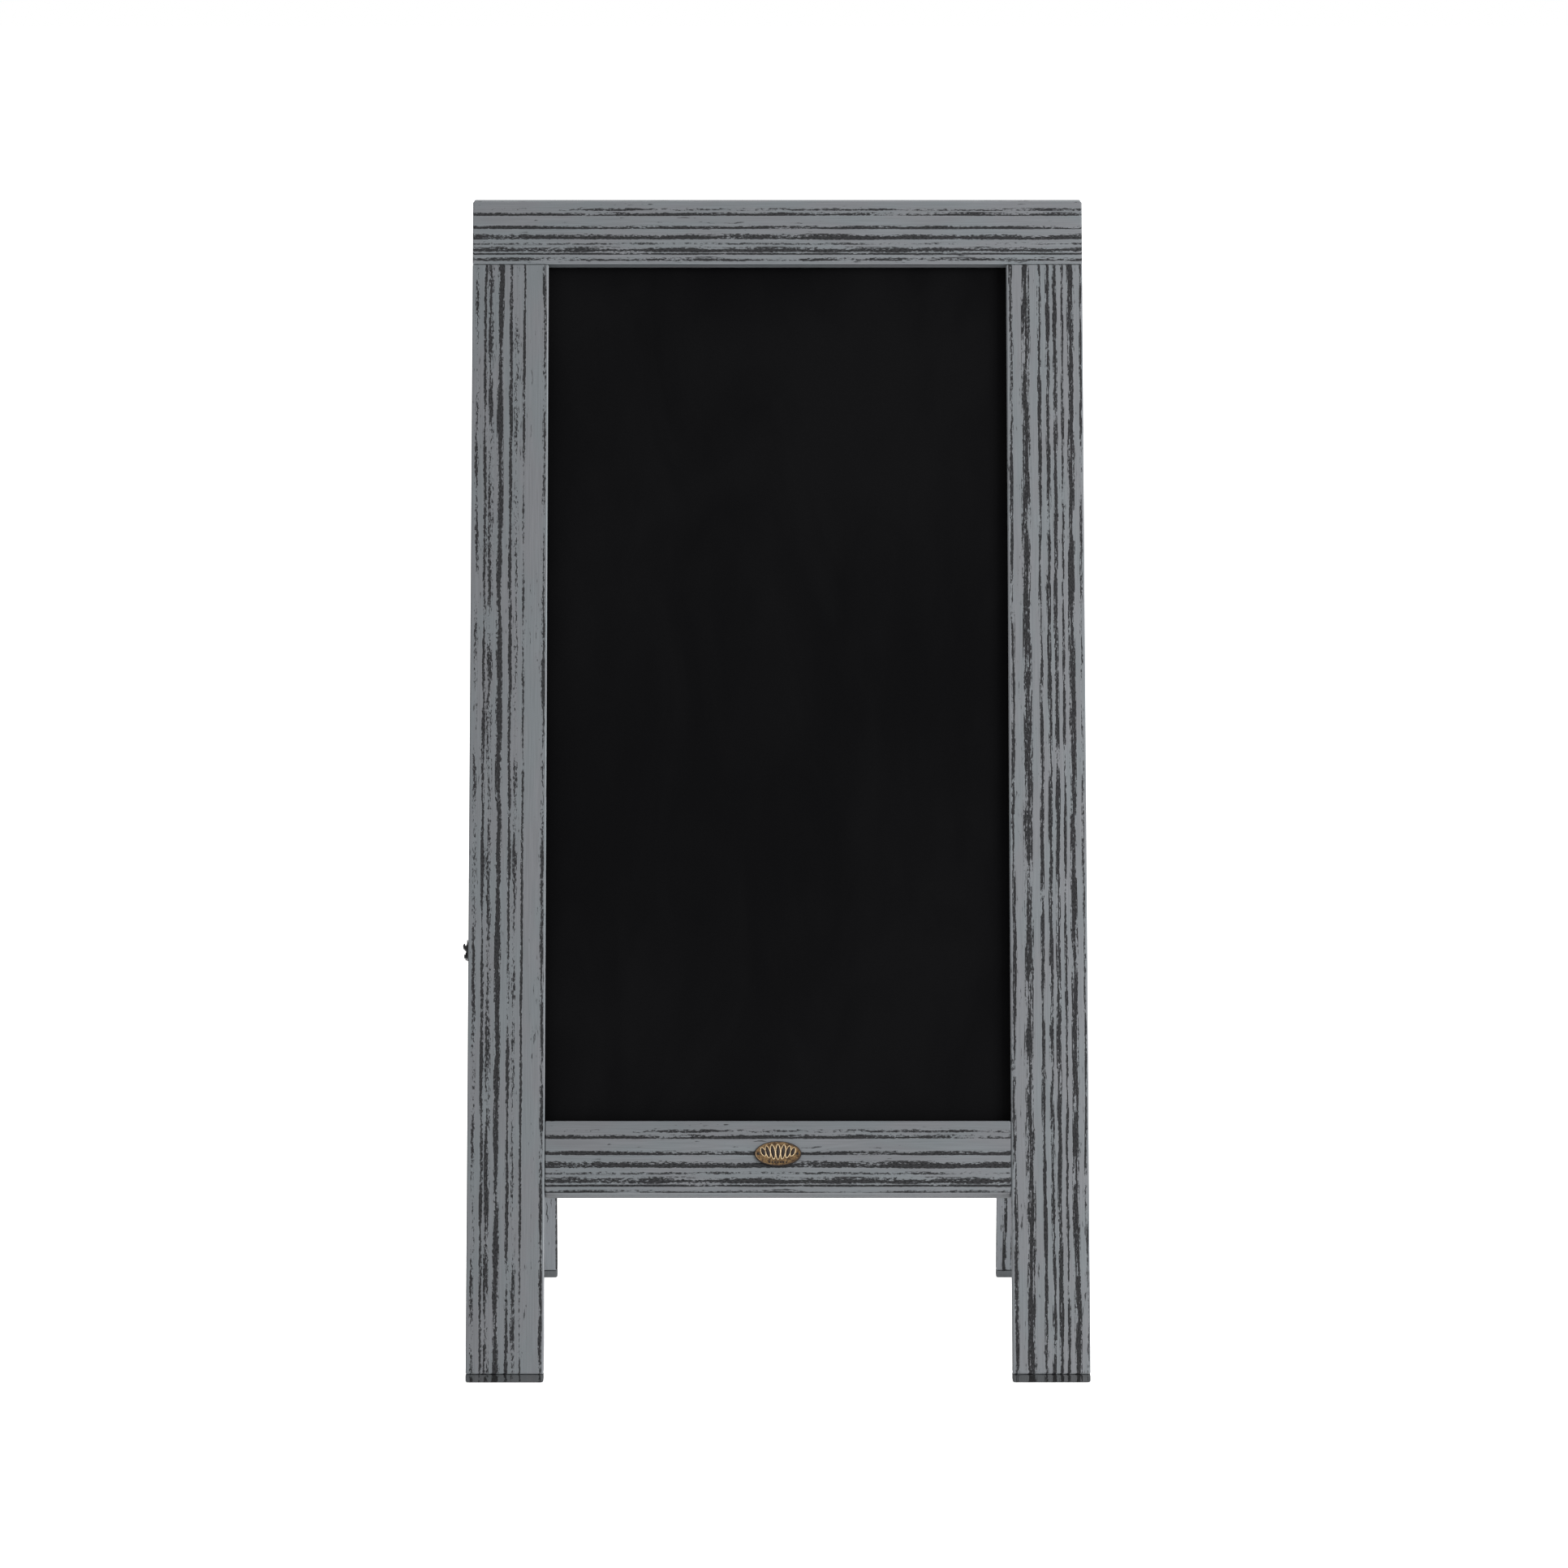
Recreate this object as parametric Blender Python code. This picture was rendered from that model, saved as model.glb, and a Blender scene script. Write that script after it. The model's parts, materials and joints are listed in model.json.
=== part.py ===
"""Double-sided folding chalkboard sign: two framed boards hinged along their top edges.

Metres, +Z up. The sign stands open on the plane z = 0, its front board faces -Y and its middle is at x = 0.
Each frame is drawn as if the sign were folded shut, in its own coordinates about the hinge axis: x across,
depth d away from the folding plane, and h down from the top edge. An empty on the hinge axis then tilts it
open.
"""

import math

import bmesh
import bpy

# Overall sizes
WIDTH = 0.508
FACE_LENGTH = 1.016
THICKNESS = 0.020
OPEN_ANGLE = math.radians(21.1)
CLEARANCE = 0.0003

# Frame members
TOP_RAIL = 0.0555
OPENING_WIDTH = 0.381
OPENING_HEIGHT = 0.740
BOTTOM_RAIL = 0.0605
ARRIS = 0.0010

# Chalkboard and its rebate
RECESS = 0.010
REBATE = 0.008
PANEL_THICKNESS = 0.004
BEAD_WIDTH = 0.012

# Loose tenons inside the corner joints
TENON_WIDTH = 0.030
TENON_THICKNESS = 0.006
TENON_LENGTH = 0.040
TENON_DROP = 0.036

# Foot pads
FOOT_PAD = 0.0065

# Top hinges: the axis lies above the top edges, midway between the frames
FOLDED_HALF_GAP = 0.0035
HINGE_RISE = 0.0038
HINGE_X = 0.165
HINGE_WIDTH = 0.060
LEAF_THICKNESS = 0.0015
LEAF_HEIGHT = 0.020
KNUCKLE_RADIUS = 0.0033
KNUCKLE_COUNT = 5
KNUCKLE_GAP = 0.0004
PIN_RADIUS = 0.0016
PIN_HEAD_RADIUS = 0.0030
PIN_HEAD = 0.0015
BARREL_SIDES = 16

# Hinge screws
SCREW_RADIUS = 0.0016
SCREW_HEAD_RADIUS = 0.0034
SCREW_LENGTH = 0.012
SCREW_SIDES = 10
SCREW_SPREAD = 0.020
SCREW_DROP = 0.010

# Side catch, on the left stiles
CATCH_H = 0.648
CATCH_PLATE_WIDTH = 0.012
CATCH_PLATE_HEIGHT = 0.0165
CATCH_PLATE_THICKNESS = 0.00085
CATCH_PIVOT_DROP = 0.0051
HOOK_THICKNESS = 0.0010
HOOK_HALF_WIDTH = 0.0022
HUB_RADIUS = 0.0034
PEG_RADIUS = 0.0015
PEG_SLOT = 0.0020
CATCH_HEAD_RADIUS = 0.0022
CATCH_HEAD_HEIGHT = 0.0009
CATCH_SCREW_RADIUS = 0.0010
CATCH_SCREW_HEAD_RADIUS = 0.0018
CATCH_SCREW_OFFSET = (0.0032, 0.0048)
WASHER_RADIUS = 0.0045
BORE_OVERRUN = 0.001

# Nameplate
PLATE_LENGTH = 0.0383
PLATE_HEIGHT = 0.021
PLATE_THICKNESS = 0.0012
PLATE_DROP = 0.0282
PLATE_PIN_X = 0.0160
PLATE_PIN_RADIUS = 0.0007
PLATE_SIDES = 40

# Spread chains
CHAIN_H = 0.600
CHAIN_RADIUS = 0.003
CHAIN_SAG = 0.014
CHAIN_POINTS = 30
CHAIN_SCREW_OFFSET = 0.007
CHAIN_SCREW_NECK = 0.0026
CHAIN_SCREW_HEAD = 0.0022
CHAIN_SCREW_HEAD_RADIUS = 0.0045
CHAIN_SCREW_RADIUS = 0.0020
CHAIN_SCREW_DEPTH = 0.014

# Derived places
FOLD = FOLDED_HALF_GAP
OUTER = FOLD + THICKNESS
HINGE_HEIGHT = (HINGE_RISE + FACE_LENGTH) * math.cos(OPEN_ANGLE) - OUTER * math.sin(OPEN_ANGLE)
OPENING_TOP = TOP_RAIL
OPENING_BOTTOM = TOP_RAIL + OPENING_HEIGHT
RAIL_BOTTOM = OPENING_BOTTOM + BOTTOM_RAIL
STILE_X = (WIDTH + OPENING_WIDTH) / 4
MID_DEPTH = FOLD + THICKNESS / 2
FRONT = -1
BACK = 1


def clear_scene():
    """Remove every object, so that only the sign is in the file."""
    for obj in list(bpy.data.objects):
        bpy.data.objects.remove(obj, do_unlink=True)


def make_material(name, colour, roughness, metallic=0.0):
    """A Principled material of one colour."""
    material = bpy.data.materials.new(name)
    material.use_nodes = True
    shader = material.node_tree.nodes["Principled BSDF"]
    shader.inputs["Base Color"].default_value = (*colour, 1.0)
    shader.inputs["Roughness"].default_value = roughness
    shader.inputs["Metallic"].default_value = metallic
    return material


def add_object(name, bm, material, parent, smooth=False):
    """Turn a bmesh into a named object under its frame's empty."""
    bmesh.ops.recalc_face_normals(bm, faces=bm.faces[:])
    mesh = bpy.data.meshes.new(name)
    bm.to_mesh(mesh)
    bm.free()
    if smooth:
        mesh.shade_smooth()
        mesh.set_sharp_from_angle(angle=math.radians(35))
    obj = bpy.data.objects.new(name, mesh)
    bpy.context.scene.collection.objects.link(obj)
    obj.parent = parent
    if material:
        mesh.materials.append(material)
    return obj


def add_cutter(name, bm, parent):
    """A guide that only shapes other pieces."""
    cutter = add_object(name, bm, None, parent)
    cutter.hide_render = True
    cutter.display_type = "WIRE"
    return cutter


def cut(obj, cutter, operation="DIFFERENCE"):
    """Boolean a guide into a piece."""
    modifier = obj.modifiers.new(cutter.name, "BOOLEAN")
    modifier.operation = operation
    modifier.object = cutter


def round_edges(obj, width):
    """Take the sharp arris off a piece."""
    modifier = obj.modifiers.new("arris", "BEVEL")
    modifier.width = width
    modifier.segments = 1
    modifier.limit_method = "ANGLE"
    modifier.angle_limit = math.radians(50)


def prism(bm, outline, axis, start, end):
    """Add an outline extruded along an axis. The outline's pairs are the other two axes, in order."""
    others = [i for i in range(3) if i != axis]
    rings = []
    for level in (start, end):
        ring = []
        for a, b in outline:
            place = [0.0, 0.0, 0.0]
            place[axis] = level
            place[others[0]] = a
            place[others[1]] = b
            ring.append(bm.verts.new(place))
        rings.append(ring)
    bm.faces.new(rings[0])
    bm.faces.new(reversed(rings[1]))
    for i in range(len(outline)):
        j = (i + 1) % len(outline)
        bm.faces.new((rings[0][i], rings[0][j], rings[1][j], rings[1][i]))


def block(side, x_range, d_range, h_range):
    """A box in a frame's coordinates: across, depth from the folding plane, and down from the top edge."""
    bm = bmesh.new()
    y0, y1 = (side * d for d in d_range)
    z0, z1 = (-(HINGE_RISE + h) for h in h_range)
    prism(bm, [(y0, z0), (y1, z0), (y1, z1), (y0, z1)], 0, x_range[0], x_range[1])
    return bm


def circle(centre_a, centre_b, radius, sides, phase=0.5):
    """Points of a regular polygon that stands for a circle."""
    step = 2 * math.pi / sides
    return [
        (centre_a + radius * math.cos(step * (i + phase)), centre_b + radius * math.sin(step * (i + phase)))
        for i in range(sides)
    ]


def rod(bm, axis, centre, start, end, radius, sides):
    """Add a cylinder along an axis; centre gives its place on the other two axes."""
    prism(bm, circle(centre[0], centre[1], radius, sides), axis, start, end)


def turned(bm, axis, centre, profile, sides):
    """Add a solid of revolution along an axis from (level, radius) pairs, closed flat at both ends."""
    others = [i for i in range(3) if i != axis]
    rings = []
    for level, radius in profile:
        ring = []
        for a, b in circle(centre[0], centre[1], radius, sides):
            place = [0.0, 0.0, 0.0]
            place[axis] = level
            place[others[0]] = a
            place[others[1]] = b
            ring.append(bm.verts.new(place))
        rings.append(ring)
    bm.faces.new(rings[0])
    bm.faces.new(reversed(rings[-1]))
    for low, high in zip(rings, rings[1:]):
        for i in range(sides):
            j = (i + 1) % sides
            bm.faces.new((low[i], low[j], high[j], high[i]))


def frame_z(h):
    """Height in a frame's coordinates of a place h below the top edge."""
    return -(HINGE_RISE + h)


def floor_z(depth, height=0.0):
    """Where a level plane meets a frame, in the frame's own coordinates, at a given depth."""
    return (height - HINGE_HEIGHT - depth * math.sin(OPEN_ANGLE)) / math.cos(OPEN_ANGLE)


def leg_outline(side, top, bottom):
    """Side view of a leg between two heights; each height is a function of the depth."""
    return [
        (side * FOLD, top(FOLD)),
        (side * OUTER, top(OUTER)),
        (side * OUTER, bottom(OUTER)),
        (side * FOLD, bottom(FOLD)),
    ]


def tenon_places():
    """The four corner joints of a frame by name: (axis across the joint, place along it, place beside it)."""
    places = {}
    for word, sign in (("left", -1), ("right", 1)):
        places[f"{word}_top"] = (2, frame_z(TOP_RAIL), sign * STILE_X)
        places[f"{word}_bottom"] = (0, sign * OPENING_WIDTH / 2, frame_z(OPENING_BOTTOM + TENON_DROP))
    return places


def add_tenon(bm, side, place, extra):
    """Add a loose tenon across a corner joint; extra makes it the mortise that holds it."""
    axis, joint, offset = place
    y = side * MID_DEPTH
    width = TENON_WIDTH + 2 * extra
    thickness = TENON_THICKNESS + 2 * extra
    if axis == 2:
        outline = rounded_rectangle(offset, y, width, thickness, thickness * 0.45)
    else:
        outline = rounded_rectangle(y, offset, thickness, width, thickness * 0.45)
    half = TENON_LENGTH / 2 + extra
    prism(bm, outline, axis, joint - half, joint + half)


def hinge_screw_places(sign):
    """Across places of one hinge's screws."""
    return [sign * HINGE_X + k * SCREW_SPREAD for k in (-1, 1)]


def build_frame(name, side, empty, wood, board, pad_rubber, bead_wood):
    """One framed chalkboard with its legs."""
    half_width = WIDTH / 2
    half_opening = OPENING_WIDTH / 2

    rebate_bm = block(
        side,
        (-half_opening - REBATE, half_opening + REBATE),
        (FOLD - 0.002, OUTER - RECESS),
        (OPENING_TOP - REBATE, OPENING_BOTTOM + REBATE),
    )
    rebate = add_cutter(f"{name}_rebate_guide", rebate_bm, empty)

    mortises_bm = bmesh.new()
    for place in tenon_places().values():
        add_tenon(mortises_bm, side, place, CLEARANCE)
    mortises = add_cutter(f"{name}_mortise_guide", mortises_bm, empty)

    pilots_bm = bmesh.new()
    for x in hinge_screw_places(-1) + hinge_screw_places(1):
        start = side * (FOLD - 0.001)
        end = side * (FOLD + SCREW_LENGTH)
        rod(pilots_bm, 1, (x, frame_z(SCREW_DROP)), start, end, SCREW_RADIUS + CLEARANCE, SCREW_SIDES)
    pilots = add_cutter(f"{name}_hinge_pilot_guide", pilots_bm, empty)

    top_rail = add_object(
        f"{name}_top_rail",
        block(side, (-half_width, half_width), (FOLD, OUTER), (0, TOP_RAIL - CLEARANCE / 2)),
        wood,
        empty,
    )
    round_edges(top_rail, ARRIS)
    for guide in (rebate, mortises, pilots):
        cut(top_rail, guide)

    rail_end = half_opening - CLEARANCE / 2
    bottom_rail = add_object(
        f"{name}_bottom_rail",
        block(side, (-rail_end, rail_end), (FOLD, OUTER), (OPENING_BOTTOM, RAIL_BOTTOM)),
        wood,
        empty,
    )
    round_edges(bottom_rail, ARRIS)
    for guide in (rebate, mortises):
        cut(bottom_rail, guide)

    chain_pilots = add_chain_pilots(name, side, empty)
    for word, sign in (("left", -1), ("right", 1)):
        stile_bm = bmesh.new()
        outline = leg_outline(
            side,
            lambda d: frame_z(TOP_RAIL + CLEARANCE / 2),
            lambda d: floor_z(d, FOOT_PAD),
        )
        x_edges = sorted((sign * (half_opening + CLEARANCE / 2), sign * half_width))
        prism(stile_bm, outline, 0, x_edges[0], x_edges[1])
        stile = add_object(f"{name}_{word}_stile", stile_bm, wood, empty)
        round_edges(stile, ARRIS)
        for guide in (rebate, mortises, chain_pilots):
            cut(stile, guide)
        if sign < 0:
            cut(stile, add_catch_pilots(name, side, empty))

        pad_bm = bmesh.new()
        pad_outline = leg_outline(
            side,
            lambda d: floor_z(d, FOOT_PAD - CLEARANCE),
            lambda d: floor_z(d, 0.0),
        )
        prism(pad_bm, pad_outline, 0, x_edges[0], x_edges[1])
        pad = add_object(f"{name}_{word}_foot_pad", pad_bm, pad_rubber, empty)
        round_edges(pad, ARRIS)

    panel_front = OUTER - RECESS - CLEARANCE
    panel_back = panel_front - PANEL_THICKNESS
    panel_edge = REBATE - 0.0005
    panel_bm = block(
        side,
        (-half_opening - panel_edge, half_opening + panel_edge),
        (panel_back, panel_front),
        (OPENING_TOP - panel_edge, OPENING_BOTTOM + panel_edge),
    )
    add_object(f"{name}_chalkboard", panel_bm, board, empty)

    build_beads(name, side, empty, bead_wood, panel_back - CLEARANCE, panel_edge)

    for corner, place in tenon_places().items():
        tenon_bm = bmesh.new()
        add_tenon(tenon_bm, side, place, 0.0)
        add_object(f"{name}_{corner}_tenon", tenon_bm, bead_wood, empty, smooth=True)


def build_beads(name, side, empty, wood, outer_depth, panel_edge):
    """Four flat beads that hold the panel in its rebate."""
    x_out = OPENING_WIDTH / 2 + panel_edge
    x_in = x_out - BEAD_WIDTH
    top = OPENING_TOP - panel_edge
    bottom = OPENING_BOTTOM + panel_edge
    depth = (FOLD + CLEARANCE, outer_depth)
    beads = {
        "top": ((-x_out, x_out), (top, top + BEAD_WIDTH)),
        "bottom": ((-x_out, x_out), (bottom - BEAD_WIDTH, bottom)),
        "left": ((-x_out, -x_in), (top + BEAD_WIDTH + CLEARANCE, bottom - BEAD_WIDTH - CLEARANCE)),
        "right": ((x_in, x_out), (top + BEAD_WIDTH + CLEARANCE, bottom - BEAD_WIDTH - CLEARANCE)),
    }
    for place, (x_range, h_range) in beads.items():
        bead = add_object(f"{name}_{place}_bead", block(side, x_range, depth, h_range), wood, empty)
        round_edges(bead, 0.0008)


def leaf_depths():
    """Depths of a hinge leaf's two faces; the farther one lies on the frame."""
    far = FOLD - CLEARANCE
    return far - LEAF_THICKNESS, far


def build_leaf(name, side, x_centre, knuckles, empty, metal):
    """A hinge leaf: its plate is notched beside the other leaf's knuckles."""
    near, far = leaf_depths()
    pitch = HINGE_WIDTH / KNUCKLE_COUNT
    left = x_centre - HINGE_WIDTH / 2
    foot = frame_z(LEAF_HEIGHT)
    shoulder = -(KNUCKLE_RADIUS + 0.0006)

    plate_bm = bmesh.new()
    outline = [(left, foot), (left + HINGE_WIDTH, foot)]
    for k in reversed(range(KNUCKLE_COUNT)):
        top = 0.0 if k in knuckles else shoulder
        inset = KNUCKLE_GAP if k in knuckles else -KNUCKLE_GAP
        right_edge = left + (k + 1) * pitch - (0 if k == KNUCKLE_COUNT - 1 else inset / 2)
        left_edge = left + k * pitch + (0 if k == 0 else inset / 2)
        outline += [(right_edge, top), (left_edge, top)]
    prism(plate_bm, outline, 1, side * near, side * far)
    leaf = add_object(name, plate_bm, metal, empty, smooth=True)

    knuckle_bm = bmesh.new()
    for k in knuckles:
        start = left + k * pitch + (0 if k == 0 else KNUCKLE_GAP / 2)
        end = left + (k + 1) * pitch - (0 if k == KNUCKLE_COUNT - 1 else KNUCKLE_GAP / 2)
        rod(knuckle_bm, 0, (0, 0), start, end, KNUCKLE_RADIUS, BARREL_SIDES)
    cut(leaf, add_cutter(f"{name}_knuckle_guide", knuckle_bm, empty), "UNION")

    bore_bm = bmesh.new()
    rod(bore_bm, 0, (0, 0), left - 0.002, left + HINGE_WIDTH + 0.002, PIN_RADIUS + CLEARANCE, BARREL_SIDES)
    cut(leaf, add_cutter(f"{name}_bore_guide", bore_bm, empty))

    sinks_bm = bmesh.new()
    for x in hinge_screw_places(math.copysign(1, x_centre)):
        turned(sinks_bm, 1, (x, frame_z(SCREW_DROP)), countersink_profile(side), SCREW_SIDES)
    cut(leaf, add_cutter(f"{name}_countersink_guide", sinks_bm, empty))


def countersink_profile(side):
    """Countersunk clearance hole through a leaf, as (level, radius) pairs."""
    near, far = leaf_depths()
    head = SCREW_HEAD_RADIUS + CLEARANCE
    neck = SCREW_RADIUS + CLEARANCE
    overrun = 0.0005
    return [
        (side * (near - overrun), head),
        (side * near, head),
        (side * far, neck),
        (side * (far + overrun), neck),
    ]


def build_hinge_screws(word, sign, name, side, empty, metal):
    """Countersunk screws that hold one leaf to its top rail."""
    near, far = leaf_depths()
    profile = [
        (side * (near + 0.0001), SCREW_HEAD_RADIUS),
        (side * far, SCREW_RADIUS),
        (side * (FOLD + SCREW_LENGTH - 0.004), SCREW_RADIUS),
        (side * (FOLD + SCREW_LENGTH - 0.0005), SCREW_RADIUS * 0.3),
    ]
    for number, x in enumerate(hinge_screw_places(sign), 1):
        screw_bm = bmesh.new()
        turned(screw_bm, 1, (x, frame_z(SCREW_DROP)), profile, SCREW_SIDES)
        add_object(f"hinge_{word}_{name}_screw_{number}", screw_bm, metal, empty, smooth=True)


def build_hinges(front, back, steel):
    """Two butt hinges between the top rails."""
    for word, sign in (("left", -1), ("right", 1)):
        x_centre = sign * HINGE_X
        build_leaf(f"hinge_{word}_front_leaf", FRONT, x_centre, (0, 2, 4), front, steel["leaf"])
        build_leaf(f"hinge_{word}_back_leaf", BACK, x_centre, (1, 3), back, steel["leaf"])
        pin_bm = bmesh.new()
        half = HINGE_WIDTH / 2 + CLEARANCE
        profile = [
            (x_centre - half - PIN_HEAD, PIN_HEAD_RADIUS * 0.8),
            (x_centre - half - PIN_HEAD * 0.5, PIN_HEAD_RADIUS),
            (x_centre - half, PIN_HEAD_RADIUS),
            (x_centre - half, PIN_RADIUS),
            (x_centre + half, PIN_RADIUS),
            (x_centre + half, PIN_HEAD_RADIUS),
            (x_centre + half + PIN_HEAD * 0.5, PIN_HEAD_RADIUS),
            (x_centre + half + PIN_HEAD, PIN_HEAD_RADIUS * 0.8),
        ]
        turned(pin_bm, 0, (0, 0), profile, BARREL_SIDES)
        add_object(f"hinge_{word}_pin", pin_bm, steel["pin"], front, smooth=True)
        build_hinge_screws(word, sign, "front", FRONT, front, steel["screw"])
        build_hinge_screws(word, sign, "back", BACK, back, steel["screw"])


def catch_centre(side):
    """Middle of the catch plate in a frame's coordinates, as (y, z)."""
    return side * MID_DEPTH, frame_z(CATCH_H)


def pivot_centre(side):
    """Where the hook's pivot screw (front) or its keeper peg (back) enters the stile, as (y, z)."""
    y, z = catch_centre(side)
    return y, z - CATCH_PIVOT_DROP


def add_catch_pilots(name, side, empty):
    """Pilot holes for the catch's screws in the left stile's outer side."""
    pilots_bm = bmesh.new()
    edge = -WIDTH / 2
    radius = PEG_RADIUS + CLEARANCE
    rod(pilots_bm, 0, pivot_centre(side), edge - BORE_OVERRUN, edge + 0.0125, radius, SCREW_SIDES)
    if side == FRONT:
        place = catch_screw_centre()
        radius = CATCH_SCREW_RADIUS + CLEARANCE
        rod(pilots_bm, 0, place, edge - BORE_OVERRUN, edge + 0.0085, radius, SCREW_SIDES)
    return add_cutter(f"{name}_catch_pilot_guide", pilots_bm, empty)


def catch_screw_centre():
    """Where the catch plate's upper screw sits, as (y, z)."""
    y, z = catch_centre(FRONT)
    return y + CATCH_SCREW_OFFSET[0], z + CATCH_SCREW_OFFSET[1]


def rounded_rectangle(centre_a, centre_b, width, height, radius, steps=3):
    """Outline of a rectangle with round corners."""
    points = []
    for quarter, (sa, sb) in enumerate(((1, 1), (-1, 1), (-1, -1), (1, -1))):
        ca = centre_a + sa * (width / 2 - radius)
        cb = centre_b + sb * (height / 2 - radius)
        for i in range(steps + 1):
            angle = math.pi / 2 * (quarter + i / steps)
            points.append((ca + radius * math.cos(angle), cb + radius * math.sin(angle)))
    return points


def build_catch_plate(front, iron):
    """Small plate with a curled lip that stops the hook's upward swing."""
    y, z = catch_centre(FRONT)
    inner = -(WIDTH / 2 + CLEARANCE)
    outer = inner - CATCH_PLATE_THICKNESS
    plate_bm = bmesh.new()
    outline = rounded_rectangle(y, z, CATCH_PLATE_WIDTH, CATCH_PLATE_HEIGHT, 0.003)
    prism(plate_bm, outline, 0, outer, inner)
    plate = add_object("catch_plate", plate_bm, iron, front)

    lip_bm = bmesh.new()
    lip = [
        (0.0004, -0.0014),
        (0.0013, -0.0008),
        (0.0020, 0.0000),
        (0.0027, 0.0007),
        (0.0032, 0.0015),
        (0.0033, 0.0025),
        (0.0031, 0.0034),
        (0.0026, 0.0041),
        (0.0020, 0.0045),
        (0.0014, 0.0046),
        (0.0014, 0.0040),
        (0.0017, 0.0036),
        (0.0015, 0.0030),
        (0.0008, 0.0028),
        (-0.0004, 0.0028),
        (-0.0004, -0.0014),
    ]
    lip_outline = [(outer - out, z + up) for out, up in lip]
    prism(lip_bm, lip_outline, 1, y - 0.0052, y - 0.0004)
    cut(plate, add_cutter("catch_lip_guide", lip_bm, front), "UNION")

    holes_bm = bmesh.new()
    place = catch_screw_centre()
    for centre, radius in ((pivot_centre(FRONT), PEG_RADIUS), (place, CATCH_SCREW_RADIUS)):
        start = outer - BORE_OVERRUN
        end = inner + BORE_OVERRUN
        rod(holes_bm, 0, centre, start, end, radius + CLEARANCE, SCREW_SIDES)
    cut(plate, add_cutter("catch_hole_guide", holes_bm, front))

    screw_bm = bmesh.new()
    profile = [
        (outer - CLEARANCE - 0.0006, 0.0010),
        (outer - CLEARANCE - 0.0003, 0.0017),
        (outer - CLEARANCE, CATCH_SCREW_HEAD_RADIUS),
        (outer - CLEARANCE, CATCH_SCREW_RADIUS),
        (inner + 0.006, CATCH_SCREW_RADIUS),
        (inner + 0.0082, 0.0003),
    ]
    turned(screw_bm, 0, place, profile, SCREW_SIDES)
    add_object("catch_plate_screw", screw_bm, iron, front, smooth=True)


def hook_outline():
    """Side view of the swing hook about its pivot: u towards the keeper peg, v up."""
    reach = 2 * MID_DEPTH
    half = HOOK_HALF_WIDTH
    nose = reach + PEG_SLOT + 0.0024
    hub_start = math.asin(half / HUB_RADIUS)
    steps = 10
    hub = []
    for i in range(steps + 1):
        angle = hub_start + (2 * math.pi - 2 * hub_start) * i / steps
        hub.append((HUB_RADIUS * math.cos(angle), HUB_RADIUS * math.sin(angle)))
    slot = [
        (reach + PEG_SLOT * math.cos(math.pi * (1 - i / 6)), PEG_SLOT * math.sin(math.pi * (1 - i / 6)))
        for i in range(7)
    ]
    tail = [
        (reach + PEG_SLOT + 0.0002, -half),
        (reach + PEG_SLOT + 0.0012, -half - 0.0008),
        (nose, -half),
        (nose + 0.0004, 0.0008),
        (nose - 0.0010, 0.0034),
        (reach - 0.001, 0.0042),
        (reach - 0.006, 0.0034),
        (reach - 0.010, half),
    ]
    return hub + [(reach - PEG_SLOT, -half)] + slot + tail


def build_hook(front, iron):
    """Swing hook, held level while the sign stands open."""
    y, z = pivot_centre(FRONT)
    inner = -(WIDTH / 2 + CLEARANCE + CATCH_PLATE_THICKNESS + CLEARANCE)
    outer = inner - HOOK_THICKNESS

    pivot = bpy.data.objects.new("hook_pivot", None)
    bpy.context.scene.collection.objects.link(pivot)
    pivot.parent = front
    pivot.location = (0, y, z)
    pivot.rotation_euler = (OPEN_ANGLE, 0, 0)

    hook_bm = bmesh.new()
    prism(hook_bm, hook_outline(), 0, outer, inner)
    hook = add_object("catch_hook", hook_bm, iron, pivot)
    hole_bm = bmesh.new()
    rod(hole_bm, 0, (0, 0), outer - BORE_OVERRUN, inner + BORE_OVERRUN, PEG_RADIUS + CLEARANCE, SCREW_SIDES)
    cut(hook, add_cutter("hook_hole_guide", hole_bm, pivot))


def build_shoulder_screw(name, side, empty, iron):
    """Round-headed screw: the hook's pivot on the front stile, or its keeper peg on the back stile."""
    stack = CLEARANCE + CATCH_PLATE_THICKNESS + CLEARANCE + HOOK_THICKNESS + CLEARANCE
    under = -(WIDTH / 2 + stack)
    screw_bm = bmesh.new()
    profile = [
        (under - CATCH_HEAD_HEIGHT, CATCH_HEAD_RADIUS * 0.45),
        (under - CATCH_HEAD_HEIGHT * 0.7, CATCH_HEAD_RADIUS * 0.8),
        (under - CATCH_HEAD_HEIGHT * 0.25, CATCH_HEAD_RADIUS),
        (under, CATCH_HEAD_RADIUS),
        (under, PEG_RADIUS),
        (-WIDTH / 2 + 0.009, PEG_RADIUS),
        (-WIDTH / 2 + 0.012, PEG_RADIUS * 0.3),
    ]
    turned(screw_bm, 0, pivot_centre(side), profile, SCREW_SIDES)
    add_object(name, screw_bm, iron, empty, smooth=True)


def build_keeper_washer(back, iron):
    """Washer that keeps the peg's hook space clear of the stile."""
    washer_bm = bmesh.new()
    inner = -(WIDTH / 2 + CLEARANCE)
    rod(washer_bm, 0, pivot_centre(BACK), inner - CATCH_PLATE_THICKNESS, inner, WASHER_RADIUS, BARREL_SIDES)
    washer = add_object("keeper_washer", washer_bm, iron, back, smooth=True)
    hole_bm = bmesh.new()
    centre = pivot_centre(BACK)
    rod(hole_bm, 0, centre, inner - 0.003, inner + BORE_OVERRUN, PEG_RADIUS + CLEARANCE, BARREL_SIDES)
    cut(washer, add_cutter("keeper_washer_guide", hole_bm, back))


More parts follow.
